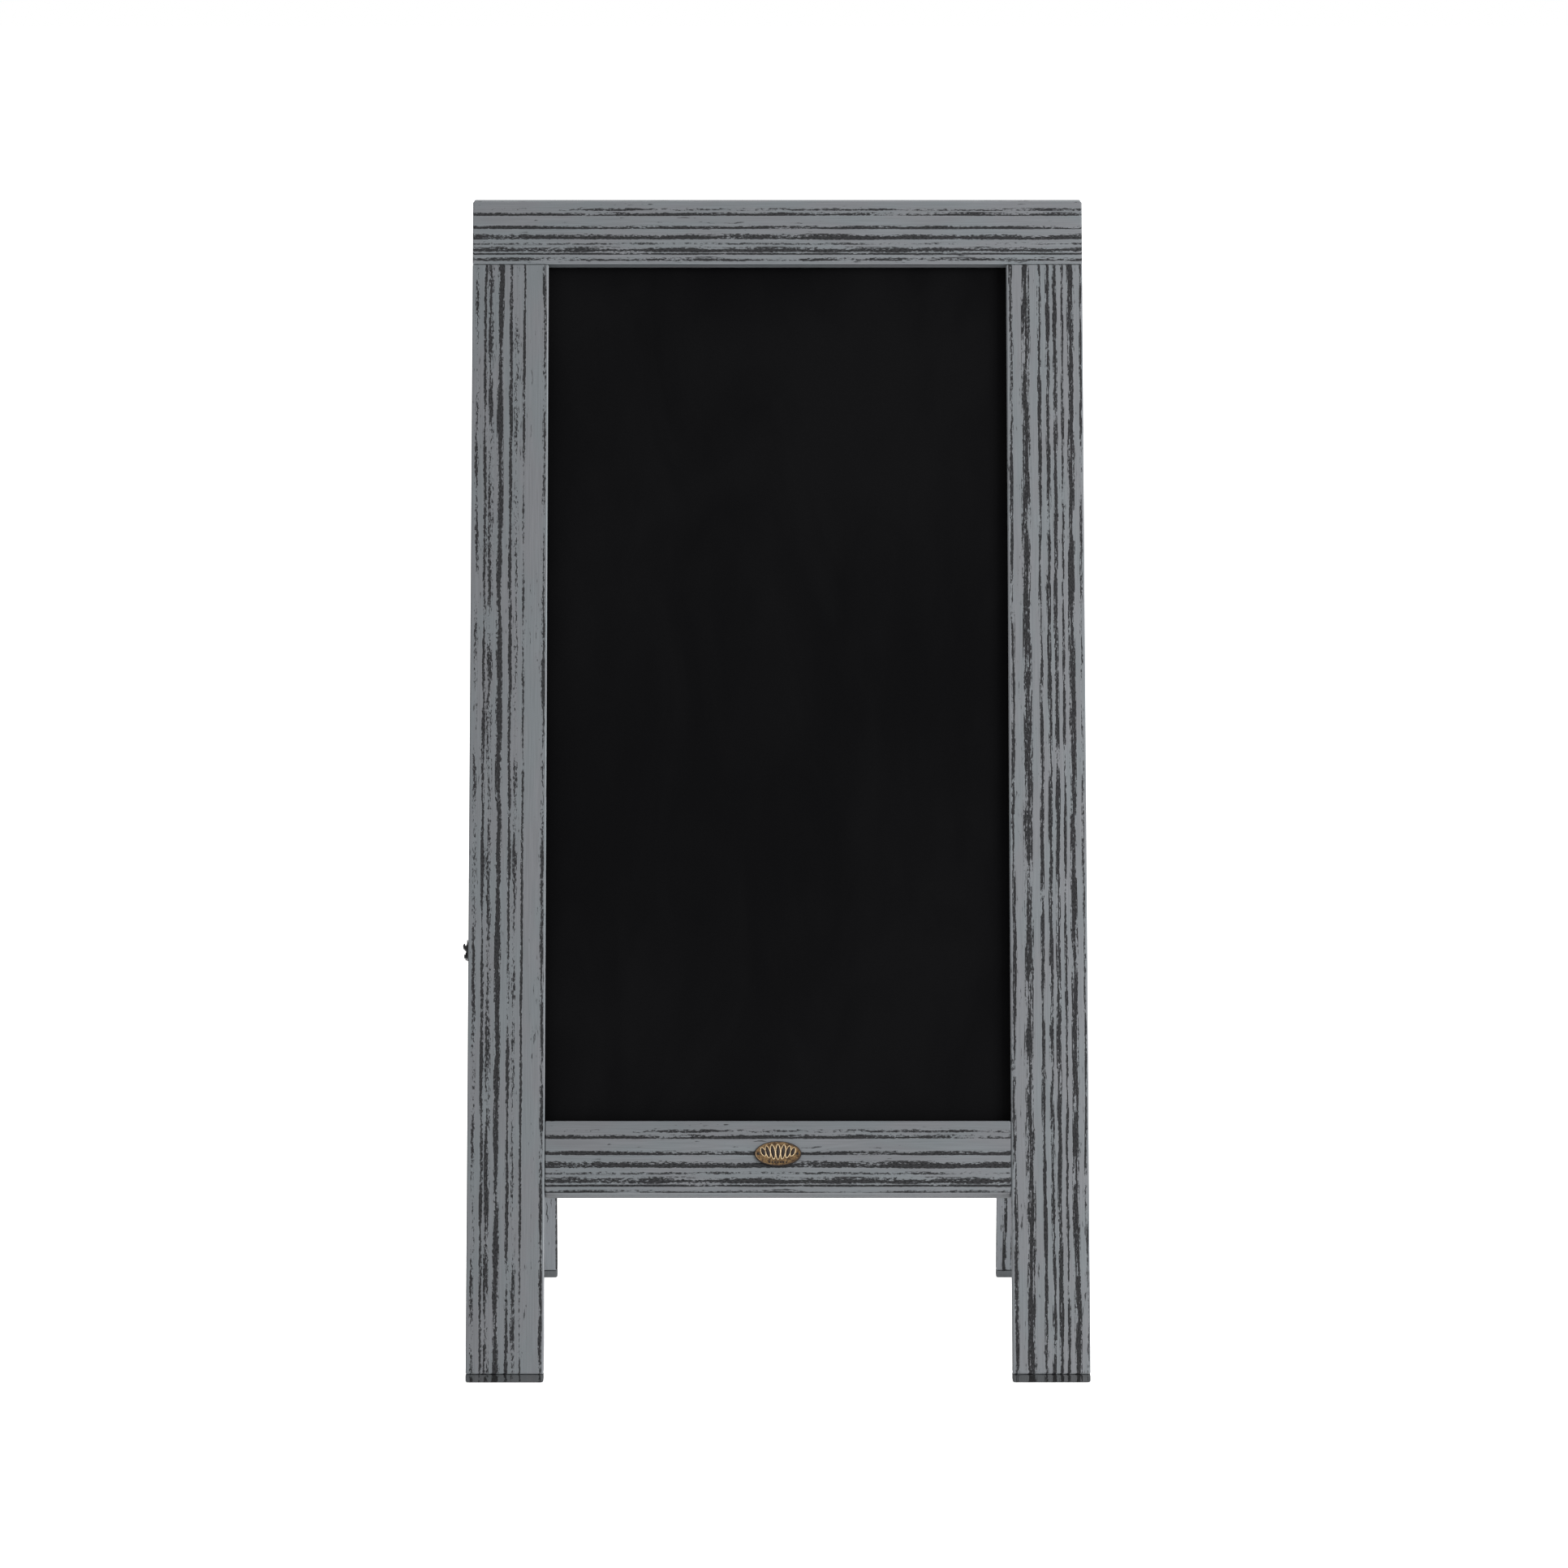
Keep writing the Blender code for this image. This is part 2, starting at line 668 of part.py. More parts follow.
def build_catch(front, back, iron):
    """The side catch and its keeper."""
    build_catch_plate(front, iron["plate"])
    build_hook(front, iron["hook"])
    build_shoulder_screw("catch_pivot_screw", FRONT, front, iron["screw"])
    build_shoulder_screw("keeper_peg", BACK, back, iron["screw"])
    build_keeper_washer(back, iron["plate"])


def chain_screw_x(sign, side):
    """Across place of a chain screw: the two frames' heads pass each other when folded."""
    return sign * (STILE_X - side * CHAIN_SCREW_OFFSET)


def add_chain_pilots(name, side, empty):
    """Pilot holes for the chain screws in one frame's stiles."""
    pilots_bm = bmesh.new()
    start = side * (FOLD - 0.001)
    end = side * (FOLD + CHAIN_SCREW_DEPTH + 0.0005)
    for sign in (-1, 1):
        centre = (chain_screw_x(sign, side), frame_z(CHAIN_H))
        rod(pilots_bm, 1, centre, start, end, CHAIN_SCREW_RADIUS + CLEARANCE, SCREW_SIDES)
    return add_cutter(f"{name}_chain_pilot_guide", pilots_bm, empty)


def build_chain_screws(name, side, empty, metal):
    """Round-headed screws that hold the chains' end links, one on each stile."""
    under = FOLD - CHAIN_SCREW_NECK
    profile = [
        (side * (under - CHAIN_SCREW_HEAD), CHAIN_SCREW_HEAD_RADIUS * 0.4),
        (side * (under - CHAIN_SCREW_HEAD * 0.8), CHAIN_SCREW_HEAD_RADIUS * 0.75),
        (side * (under - CHAIN_SCREW_HEAD * 0.3), CHAIN_SCREW_HEAD_RADIUS),
        (side * under, CHAIN_SCREW_HEAD_RADIUS),
        (side * under, CHAIN_SCREW_RADIUS),
        (side * (FOLD + CHAIN_SCREW_DEPTH - 0.004), CHAIN_SCREW_RADIUS),
        (side * (FOLD + CHAIN_SCREW_DEPTH), CHAIN_SCREW_RADIUS * 0.3),
    ]
    for word, sign in (("left", -1), ("right", 1)):
        screw_bm = bmesh.new()
        turned(screw_bm, 1, (chain_screw_x(sign, side), frame_z(CHAIN_H)), profile, SCREW_SIDES)
        add_object(f"chain_screw_{word}_{name}", screw_bm, metal, empty, smooth=True)


def opened(side, x, y, z):
    """A place in a frame's folded coordinates, moved to where it is on the open sign."""
    angle = side * OPEN_ANGLE
    return (
        x,
        y * math.cos(angle) - z * math.sin(angle),
        HINGE_HEIGHT + y * math.sin(angle) + z * math.cos(angle),
    )


def build_chains(metal):
    """Two spread chains, each a plain round stand-in along the chain's sagging line."""
    proud = FOLD - CHAIN_SCREW_NECK - CHAIN_SCREW_HEAD - 0.0034
    for word, sign in (("left", -1), ("right", 1)):
        ends = [
            opened(side, chain_screw_x(sign, side), side * proud, frame_z(CHAIN_H)) for side in (FRONT, BACK)
        ]
        curve = bpy.data.curves.new(f"spread_chain_{word}", "CURVE")
        curve.dimensions = "3D"
        curve.bevel_depth = CHAIN_RADIUS
        curve.bevel_resolution = 2
        curve.use_fill_caps = True
        spline = curve.splines.new("POLY")
        spline.points.add(CHAIN_POINTS - 1)
        for i, point in enumerate(spline.points):
            t = i / (CHAIN_POINTS - 1)
            place = [a + (b - a) * t for a, b in zip(*ends)]
            place[2] -= 4 * CHAIN_SAG * t * (1 - t)
            point.co = (*place, 1.0)
        curve.materials.append(metal)
        chain = bpy.data.objects.new(f"spread_chain_{word}", curve)
        bpy.context.scene.collection.objects.link(chain)


def build_nameplate(front, brass):
    """Plain oval plate with a raised rim, held by two pins."""
    centre_z = frame_z(OPENING_BOTTOM + PLATE_DROP)
    back_y = -(OUTER + CLEARANCE)
    rim_y = back_y - PLATE_THICKNESS
    field_y = rim_y + 0.0004

    def oval(inset, depth_y, bm):
        ring = []
        for i in range(PLATE_SIDES):
            angle = 2 * math.pi * i / PLATE_SIDES
            x = (PLATE_LENGTH / 2 - inset) * math.cos(angle)
            z = centre_z + (PLATE_HEIGHT / 2 - inset) * math.sin(angle)
            ring.append(bm.verts.new((x, depth_y, z)))
        return ring

    plate_bm = bmesh.new()
    rings = [
        oval(0.0, back_y, plate_bm),
        oval(0.0, back_y - PLATE_THICKNESS * 0.6, plate_bm),
        oval(0.0004, rim_y, plate_bm),
        oval(0.0012, rim_y, plate_bm),
        oval(0.0016, field_y, plate_bm),
    ]
    plate_bm.faces.new(rings[0])
    plate_bm.faces.new(reversed(rings[-1]))
    for low, high in zip(rings, rings[1:]):
        for i in range(PLATE_SIDES):
            j = (i + 1) % PLATE_SIDES
            plate_bm.faces.new((low[i], low[j], high[j], high[i]))
    plate = add_object("nameplate", plate_bm, brass["plate"], front, smooth=True)

    holes_bm = bmesh.new()
    profile = [
        (field_y - CLEARANCE - 0.0005, 0.0006),
        (field_y - CLEARANCE - 0.0002, 0.0011),
        (field_y - CLEARANCE, 0.0012),
        (field_y - CLEARANCE, PLATE_PIN_RADIUS),
        (-OUTER + 0.006, PLATE_PIN_RADIUS * 0.5),
    ]
    for word, sign in (("left", -1), ("right", 1)):
        place = (sign * PLATE_PIN_X, centre_z)
        rod(holes_bm, 1, place, rim_y - 0.001, -OUTER + 0.0065, PLATE_PIN_RADIUS + CLEARANCE, 8)
        pin_bm = bmesh.new()
        turned(pin_bm, 1, place, profile, 8)
        add_object(f"nameplate_{word}_pin", pin_bm, brass["pin"], front, smooth=True)
    holes = add_cutter("nameplate_pin_guide", holes_bm, front)
    cut(plate, holes)
    cut(bpy.data.objects["front_bottom_rail"], holes)


def add_tilt(name, side):
    """Empty on the hinge axis that holds one frame at its open angle."""
    empty = bpy.data.objects.new(name, None)
    bpy.context.scene.collection.objects.link(empty)
    empty.location = (0, 0, HINGE_HEIGHT)
    empty.rotation_euler = (side * OPEN_ANGLE, 0, 0)
    return empty


def main():
    clear_scene()
    wood = make_material("grey_wood", (0.20, 0.20, 0.205), 0.75)
    bead_wood = make_material("bead_wood", (0.16, 0.155, 0.15), 0.8)
    board = make_material("chalkboard", (0.012, 0.012, 0.013), 0.85)
    pad_rubber = make_material("foot_pad", (0.09, 0.09, 0.092), 0.6)
    brass = {
        "plate": make_material("antique_brass", (0.20, 0.15, 0.09), 0.45, 1.0),
        "pin": make_material("brass_pin", (0.10, 0.075, 0.05), 0.5, 1.0),
    }
    iron = {
        "plate": make_material("black_iron", (0.015, 0.015, 0.017), 0.5, 0.6),
        "hook": make_material("black_hook", (0.012, 0.012, 0.014), 0.45, 0.6),
        "screw": make_material("black_screw", (0.02, 0.02, 0.022), 0.45, 0.7),
    }
    steel = {
        "leaf": make_material("hinge_steel", (0.05, 0.048, 0.045), 0.45, 0.8),
        "pin": make_material("pin_steel", (0.25, 0.25, 0.26), 0.35, 1.0),
        "screw": make_material("screw_steel", (0.12, 0.115, 0.11), 0.4, 0.9),
    }
    chain_steel = make_material("chain_steel", (0.35, 0.35, 0.36), 0.35, 1.0)

    front = add_tilt("front_tilt", FRONT)
    back = add_tilt("back_tilt", BACK)
    build_frame("front", FRONT, front, wood, board, pad_rubber, bead_wood)
    build_frame("back", BACK, back, wood, board, pad_rubber, bead_wood)
    build_hinges(front, back, steel)
    build_catch(front, back, iron)
    build_nameplate(front, brass)
    build_chain_screws("front", FRONT, front, steel["screw"])
    build_chain_screws("back", BACK, back, steel["screw"])
    build_chains(chain_steel)


main()
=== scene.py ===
"""Looks of the folding double-sided chalkboard sign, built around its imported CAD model.

Metres, +Z up, front board facing -Y. Each frame has its own folded coordinates about the hinge axis:
x across, y through the thickness (the front frame lies on the -Y side of the folding plane, the back one on
the +Y side) and z up along the board.
"""

import json
import math

import bmesh
import bpy
from mathutils import Matrix, Vector


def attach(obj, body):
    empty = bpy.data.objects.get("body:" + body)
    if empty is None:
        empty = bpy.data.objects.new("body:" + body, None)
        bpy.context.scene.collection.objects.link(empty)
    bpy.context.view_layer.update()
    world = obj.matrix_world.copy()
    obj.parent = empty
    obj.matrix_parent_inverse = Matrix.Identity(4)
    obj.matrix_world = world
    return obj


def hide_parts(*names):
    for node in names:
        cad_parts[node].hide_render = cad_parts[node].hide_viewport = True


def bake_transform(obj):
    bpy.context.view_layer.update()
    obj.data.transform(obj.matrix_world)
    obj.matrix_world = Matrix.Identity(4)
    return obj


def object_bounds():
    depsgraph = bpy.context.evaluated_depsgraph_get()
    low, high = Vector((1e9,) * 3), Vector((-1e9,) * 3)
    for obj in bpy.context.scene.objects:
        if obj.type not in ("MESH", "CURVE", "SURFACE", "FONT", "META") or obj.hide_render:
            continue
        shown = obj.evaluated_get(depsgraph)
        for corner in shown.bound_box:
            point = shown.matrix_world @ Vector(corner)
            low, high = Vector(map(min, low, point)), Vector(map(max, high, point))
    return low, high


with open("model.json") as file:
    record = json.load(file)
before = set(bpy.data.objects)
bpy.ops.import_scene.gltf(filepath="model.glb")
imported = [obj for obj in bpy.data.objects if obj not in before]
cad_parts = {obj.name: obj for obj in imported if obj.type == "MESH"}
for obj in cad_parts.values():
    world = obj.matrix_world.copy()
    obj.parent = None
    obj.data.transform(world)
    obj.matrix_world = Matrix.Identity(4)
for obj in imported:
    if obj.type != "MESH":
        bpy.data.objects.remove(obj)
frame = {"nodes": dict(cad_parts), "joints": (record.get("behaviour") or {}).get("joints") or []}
CAD_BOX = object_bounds()

FRONT = -1
BACK = 1
BODY = {FRONT: "front_frame", BACK: "back_frame"}
SIDE_NAME = {FRONT: "front", BACK: "back"}
FOLD_JOINT = next(joint for joint in frame["joints"] if joint["name"] == "frame_fold")
HINGE = Matrix.Translation(FOLD_JOINT["pos_m"])
HALF_ANGLE = math.radians(abs(FOLD_JOINT["range_deg"][0])) / 2

# From each frame's folded coordinates to the open sign, and back
TILT = {side: HINGE @ Matrix.Rotation(side * HALF_ANGLE, 4, "X") for side in SIDE_NAME}
UNTILT = {side: matrix.inverted() for side, matrix in TILT.items()}

# Rounding of sharp edges
BOARD_EDGE = 0.0004
BEAD_EDGE = 0.0003
PANEL_EDGE = 0.0005
HARDWARE_EDGE = 0.00018
PIN_EDGE = 0.00015
BOARD_ANGLE = 35
HARDWARE_ANGLE = 50

# Boards. The print on the bottom rail is longer than the rail is high, and runs on round its lower edge
STILE_WIDTH = 0.0635
BOTTOM_RAIL_PRINT = 1.08
# Metres added along the grain, so that no two boards of a kind look the same
RAIL_SHIFT = {FRONT: 0.0, BACK: 6.2}
STILE_SHIFT = {FRONT: 0.0, BACK: 3.4}
RIGHT_STILE_SHIFT = 5.3
BEAD_SHIFT = 2.3
TENON_SHIFT = 4.0

# Chalkboards: strips across x and z, and how far behind the panel's middle its edges are painted
PANEL_STRIPS = ((0, 12), (2, 24))
PAINT_DEPTH = 0.0012

# Screws: the driver recess, the tapered point, and where a countersunk head ends
DRIVER_TURN = 0.5
DRIVER_TAPER = 0.45
DRIVER_DEPTH = 0.0011
SCREW_POINT = 0.0035
HEAD_ZONE = 0.004
SAME_RADIUS = 0.0002

# Chains. Each end link hangs on a screw's neck, which stands off the stile
CHAIN_WIRE = 0.0009
LINK_INSIDE_LENGTH = 0.010
LINK_INSIDE_WIDTH = 0.0046
NECK_RADIUS = 0.0020
NECK_GAP = 0.0013
CHAIN_SAG = 0.014
LINE_STEPS = 400
# Where a chain is parted, as shares of its links
CHAIN_CUTS = (0.0, 0.06, 0.20, 0.50, 0.80, 0.94, 1.0)
# The run between the frames that the parts' shares are measured along starts and ends this far inside the
# chain's ends
BLEND_INSET = Vector((0, 0.008, 0))

# Nameplate. Its edge runs from the outline to the sunken field: (inset, depth behind the front)
PLATE_SIDES = 72
FIELD_DEPTH = 0.00036
PLATE_EDGE = (
    (0.0, 0.00045),
    (0.00012, 0.00018),
    (0.0004, 0.00002),
    (0.0008, 0.00002),
    (0.0011, 0.00016),
    (0.0013, 0.00042),
    (0.0018, 0.00046),
    (0.0050, 0.00040),
    (0.0085, FIELD_DEPTH),
)
DARK_BANDS = 4
# Leaves on each side of the middle: (distance from it, lean in radians, half length)
LEAF_ROWS = ((0.0, 0.0, 0.0066), (0.0042, 0.14, 0.0063), (0.0083, 0.26, 0.0054), (0.0121, 0.38, 0.0040))
LEAF_RISE = 0.0015
LEAF_HALF_WIDTH = 0.0019
LEAF_TAPER = 1.35
LEAF_POINTS = 16
LEAF_WIRE = 0.00042
LEAF_SINK = 0.00008
DOTS_EACH_SIDE = 3
DOT_PITCH = 0.0023
DOT_DROP = 0.0071
DOT_HALF_SIZE = (0.0007, 0.0009)
DOT_POINTS = 8
DOT_SINK = 0.00006
RECESS_THICKNESS = 0.0003
PLATE_PIN_RISE = 0.0006
PLATE_PIN_SEAT = -0.0002
PLATE_PIN_SIDES = 20

# Studio
FLOOR_HALF_SIZE = 60.0
FLOOR_GAP = 0.0004
FLOOR_GLOW = 0.6
WHITE = (1.0, 1.0, 1.0, 1.0)
# Name, place, size and watts of each light
SOFTBOXES = (
    ("key_softbox", (2.6, -2.0, 2.2), 1.5, 120.0),
    ("top_softbox", (0.8, 0.6, 4.0), 2.4, 30.0),
)
LIGHT_TARGET = Vector((0, 0, 0.5))
CAMERA_PLACE = (-0.0157, -11.022, 1.2935)
CAMERA_LENS = 302.4
CAMERA_DIP_DEGREES = 4.334
CAMERA_TURN_DEGREES = -0.1106


# ---------------------------------------------------------------- materials


# How much brighter than its own colour the studio light shows a surface
LIGHT_GAIN = 1.155


def linear(r, g, b):
    """A linear surface colour that looks like these 8-bit sRGB values in this light."""
    values = [c / 255 for c in (r, g, b)]
    lit = [c / 12.92 if c <= 0.04045 else ((c + 0.055) / 1.055) ** 2.4 for c in values]
    return [c / LIGHT_GAIN for c in lit] + [1.0]


class Nodes:
    """Short calls that build one material's node tree."""

    def __init__(self, name, roughness=0.6, metallic=0.0, specular=0.3):
        self.material = bpy.data.materials.new(name)
        self.material.use_nodes = True
        self.tree = self.material.node_tree
        self.shader = self.tree.nodes["Principled BSDF"]
        self.shader.inputs["Roughness"].default_value = roughness
        self.shader.inputs["Metallic"].default_value = metallic
        self.shader.inputs["Specular IOR Level"].default_value = specular

    def put(self, socket, value):
        """Link a socket to another one, or set it to a plain value."""
        if isinstance(value, bpy.types.NodeSocket):
            self.tree.links.new(value, socket)
        else:
            socket.default_value = value

    def add(self, kind, inputs, **settings):
        """A new node with these inputs and settings."""
        node = self.tree.nodes.new(kind)
        for key, value in settings.items():
            setattr(node, key, value)
        for key, value in inputs.items():
            self.put(node.inputs[key], value)
        return node

    def math(self, operation, a, b=0.0):
        return self.add("ShaderNodeMath", {0: a, 1: b}, operation=operation).outputs[0]

    def total(self, *terms):
        """Sum of sockets or numbers, or of (socket, weight) pairs."""
        result = None
        for term in terms:
            value = self.math("MULTIPLY", *term) if isinstance(term, tuple) else term
            result = value if result is None else self.math("ADD", result, value)
        return result

    def stretch(self, vector, factors, shift=(0.0, 0.0, 0.0)):
        """The vector times the factors, plus the shift."""
        inputs = {0: vector, 1: factors, 2: shift}
        return self.add("ShaderNodeVectorMath", inputs, operation="MULTIPLY_ADD").outputs[0]

    def noise(self, vector, scale=1.0, detail=2.0, roughness=0.5, distortion=0.0):
        inputs = {"Vector": vector, "Scale": scale, "Detail": detail, "Roughness": roughness}
        return self.add("ShaderNodeTexNoise", {**inputs, "Distortion": distortion}).outputs["Fac"]

    def smooth(self, value, low, high, start=0.0, end=1.0):
        """A soft step from start to end as the value goes from low to high."""
        inputs = {"Value": value, "From Min": low, "From Max": high, "To Min": start, "To Max": end}
        return self.add("ShaderNodeMapRange", inputs, interpolation_type="SMOOTHSTEP").outputs["Result"]

    def mix(self, factor, a, b):
        """A colour between a, at factor 0, and b, at factor 1."""
        node = self.add("ShaderNodeMix", {}, data_type="RGBA")
        self.put(node.inputs["Factor"], factor)
        self.put(node.inputs["A"], a)
        self.put(node.inputs["B"], b)
        return node.outputs["Result"]

    def tint(self, colour, factor):
        """The colour times a grey factor."""
        return self.add("ShaderNodeVectorMath", {0: colour, "Scale": factor}, operation="SCALE").outputs[0]

    def ramp(self, value, stops):
        """A grey level read from (position, level) stops."""
        node = self.add("ShaderNodeValToRGB", {"Fac": value})
        elements = node.color_ramp.elements
        while len(elements) < len(stops):
            elements.new(0.5)
        # A new position can change the order of the stops, so the levels are set afterwards.
        for element, (position, _) in zip(elements, stops):
            element.position = position
        for element, (_, level) in zip(elements, stops):
            element.color = (level, level, level, 1.0)
        return node.outputs["Color"]

    def bump(self, height, distance, strength):
        inputs = {"Height": height, "Distance": distance, "Strength": strength}
        self.put(self.shader.inputs["Normal"], self.add("ShaderNodeBump", inputs).outputs["Normal"])

    def finish(self, colour, roughness=None):
        """Set the surface colour and, where it varies, the roughness."""
        self.put(self.shader.inputs["Base Color"], colour)
        if roughness is not None:
            self.put(self.shader.inputs["Roughness"], roughness)
        return self.material


# Dark grain lines of each board pattern, as fractions of its width from the top or left edge:
# (where it starts, where it is darkest, where it ends, how solid it is)
RAIL_GRAIN = [
    (0.095, 0.140, 0.165, 0.40),
    (0.165, 0.229, 0.237, 0.90),
    (0.380, 0.441, 0.449, 0.84),
    (0.505, 0.600, 0.622, 1.10),
    (0.640, 0.680, 0.715, 0.26),
    (0.715, 0.790, 0.825, 0.94),
    (0.800, 0.851, 0.859, 1.10),
    (0.885, 0.945, 0.962, 0.66),
]
LEFT_GRAIN = [
    (0.030, 0.070, 0.115, 0.46),
    (0.150, 0.178, 0.215, 0.86),
    (0.200, 0.245, 0.310, 0.66),
    (0.325, 0.382, 0.430, 1.10),
    (0.485, 0.518, 0.550, 0.92),
    (0.545, 0.590, 0.640, 0.42),
    (0.665, 0.690, 0.712, 0.86),
    (0.915, 0.955, 0.982, 0.72),
]
RIGHT_GRAIN = [
    (0.020, 0.055, 0.085, 0.72),
    (0.175, 0.245, 0.315, 0.90),
    (0.395, 0.432, 0.460, 0.90),
    (0.500, 0.542, 0.570, 0.84),
    (0.590, 0.635, 0.665, 0.92),
    (0.700, 0.725, 0.750, 0.84),
    (0.780, 0.840, 0.890, 1.00),
    (0.940, 0.968, 0.990, 0.52),
]
SOLID_LINE = 1.1


def ragged_lines(n, metres, across, grain, wander, strand, bare):
    """How dark the grain is: the pattern's lines, which wander and break up, and short dashes between."""
    slow = n.noise(n.stretch(metres, (5.0, 22.0, 22.0)), detail=1.0)
    quick = n.noise(n.stretch(metres, (26.0, 90.0, 90.0), (7.0, 3.0, 1.0)), detail=2.0)
    bend = n.total(
        (n.math("SUBTRACT", slow, 0.5), wander * 2.4),
        (n.math("SUBTRACT", quick, 0.5), wander * 0.7),
    )
    stops = []
    for start, peak, end, strength in grain:
        stops += [(start, 0.0), (peak, min(1.0, strength / SOLID_LINE)), (end, 0.0)]
    profile = n.ramp(n.math("ADD", across, bend), stops)

    patches = n.noise(n.stretch(metres, (18.0, 170.0, 170.0), (3.0, 9.0, 2.0)), detail=2.0, roughness=0.5)
    ragged = n.noise(n.stretch(metres, (260.0, 720.0, 720.0), (1.0, 5.0, 8.0)), detail=3.0, roughness=0.7)
    strands = n.noise(n.stretch(metres, (34.0, 780.0, 780.0), (4.0, 2.0, 7.0)), detail=2.0, roughness=0.6)
    noises = n.total((patches, 1.9), (ragged, 2.1), (strands, strand))
    threshold = n.math("ADD", noises, bare - 0.5 * (4.0 + strand))
    lines = n.smooth(n.math("SUBTRACT", profile, threshold), -0.06, 0.14)
    lines = n.math("MULTIPLY", lines, n.smooth(profile, 0.02, 0.20))

    dash = n.noise(n.stretch(metres, (60.0, 430.0, 430.0), (2.0, 1.0, 6.0)), detail=3.0, roughness=0.65)
    crowd = n.noise(n.stretch(metres, (9.0, 60.0, 60.0), (5.0, 4.0, 3.0)), detail=1.0)
    dashes = n.smooth(n.total(dash, (crowd, 0.35)), 0.835, 0.90, 0.0, 0.85)
    return n.math("MAXIMUM", lines, dashes)


def wood_material(
    name, grain, wander, base=(104, 106, 109), shade=1.0, strand=0.9, bare=0.40, ends=False, arris=0.0
):
    """Grey-washed board with dark ragged grain lines. The mesh's grain attribute says where the board is:
    metres along it, fraction across it, and metres into it. Wander is how far the lines stray, strand how
    stringy they are and bare how much of them is missing. With ends, faces square to X are end grain and
    the edge faces are plainer. Arris is how much paler the edge at fraction 1 is: a painted highlight
    where light catches that arris, with the grain lines fading under it."""
    n = Nodes(name, specular=0.22)
    place = n.add("ShaderNodeAttribute", {}, attribute_name="grain").outputs["Vector"]
    fraction = n.add("ShaderNodeSeparateXYZ", {0: place}).outputs["Y"]
    # Past the edge the pattern is mirrored, so that its lines meet on the arris.
    across = n.math("PINGPONG", fraction, 1.0)
    metres = n.stretch(place, (1.0, STILE_WIDTH, 1.0))
    dark = ragged_lines(n, metres, across, grain, wander, strand, bare)

    # Painted highlight: a pale band along the edge at fraction 1, where light catches that arris
    from_arris = n.math("ABSOLUTE", n.math("SUBTRACT", fraction, 1.0))
    arris_highlight_mask = n.smooth(from_arris, 0.0045, 0.0095, 1.0, 0.0)
    # Under the painted highlight the grain lines fade
    if arris:
        dark = n.math("MULTIPLY", dark, n.smooth(arris_highlight_mask, 0.0, 1.0, 1.0, 0.25))
    if ends:
        dark = n.math("MULTIPLY", dark, n.smooth(fraction, 1.0, 1.02, 1.0, 0.25))
        normal = n.add("ShaderNodeNewGeometry", {}).outputs["True Normal"]
        facing = n.math("ABSOLUTE", n.add("ShaderNodeSeparateXYZ", {0: normal}).outputs["X"])
        dark = n.math("MULTIPLY", dark, n.smooth(facing, 0.80, 0.95, 1.0, 0.12))

    blotch = n.noise(n.stretch(metres, (14.0, 50.0, 50.0), (8.0, 2.0, 4.0)), detail=3.0)
    fibre = n.noise(n.stretch(metres, (22.0, 900.0, 900.0), (6.0, 6.0, 6.0)), detail=3.0, roughness=0.6)
    speck = n.noise(n.stretch(metres, (420.0, 1500.0, 1500.0)), detail=1.0)
    r, g, b = base
    cool = linear(r - 1.5, g + 0.8, b + 0.8)
    warm = linear(r + 0.3, g - 0.2, b)
    paint = n.mix(n.smooth(blotch, 0.36, 0.64), cool, warm)
    paint = n.tint(paint, n.smooth(fibre, 0.25, 0.75, 0.90 * shade, 1.09 * shade))
    # Painted highlight: the paint is made paler along the edge at fraction 1
    paint = n.tint(paint, n.smooth(arris_highlight_mask, 0.0, 1.0, 1.0, 1.0 + arris))
    stain = n.mix(n.smooth(speck, 0.34, 0.68), linear(14, 15, 17), linear(44, 44, 46))
    colour = n.mix(dark, paint, n.tint(stain, shade))

    n.bump(n.total((dark, -0.75), (fibre, 0.35), (speck, 0.12)), 0.00022, 0.75)
    return n.finish(colour, n.smooth(dark, 0.0, 1.0, 0.62, 0.86))


def chalkboard_material():
    """Matte black chalkboard paint with the faintest haze of wiped chalk."""
    n = Nodes("chalkboard_paint", roughness=0.88, specular=0.03)
    place = n.add("ShaderNodeAttribute", {}, attribute_name="grain").outputs["Vector"]
    haze = n.noise(n.stretch(place, (6.0, 3.0, 6.0)), detail=4.0, roughness=0.6)
    wipe = n.noise(n.stretch(place, (14.0, 5.0, 14.0), (3.0, 1.0, 2.0)), detail=3.0, distortion=1.4)
    dust = n.noise(place, scale=900.0, detail=1.0)
    mark = n.total((haze, 0.6), (wipe, 0.4))
    colour = n.mix(n.smooth(mark, 0.36, 0.66), linear(6, 6, 7), linear(11, 11, 12))
    colour = n.tint(colour, n.smooth(dust, 0.3, 0.7, 0.92, 1.10))
    n.bump(n.noise(place, scale=1400.0, detail=2.0), 0.00005, 0.4)
    return n.finish(colour, n.smooth(mark, 0.3, 0.7, 0.80, 0.92))


def hardboard_material():
    """Dark brown back of the board, with the pressed screen texture of hardboard."""
    n = Nodes("hardboard_back", roughness=0.7, specular=0.2)
    place = n.add("ShaderNodeAttribute", {}, attribute_name="grain").outputs["Vector"]
    weave = n.add("ShaderNodeTexVoronoi", {"Vector": place, "Scale": 620.0}).outputs["Distance"]
    fibre = n.noise(place, scale=160.0, detail=4.0, roughness=0.65)
    cloud = n.noise(place, scale=9.0, detail=3.0)
    colour = n.mix(n.smooth(fibre, 0.3, 0.7), linear(58, 44, 34), linear(82, 64, 50))
    colour = n.tint(colour, n.smooth(cloud, 0.3, 0.7, 0.85, 1.08))
    n.bump(weave, 0.0002, 0.6)
    return n.finish(colour)


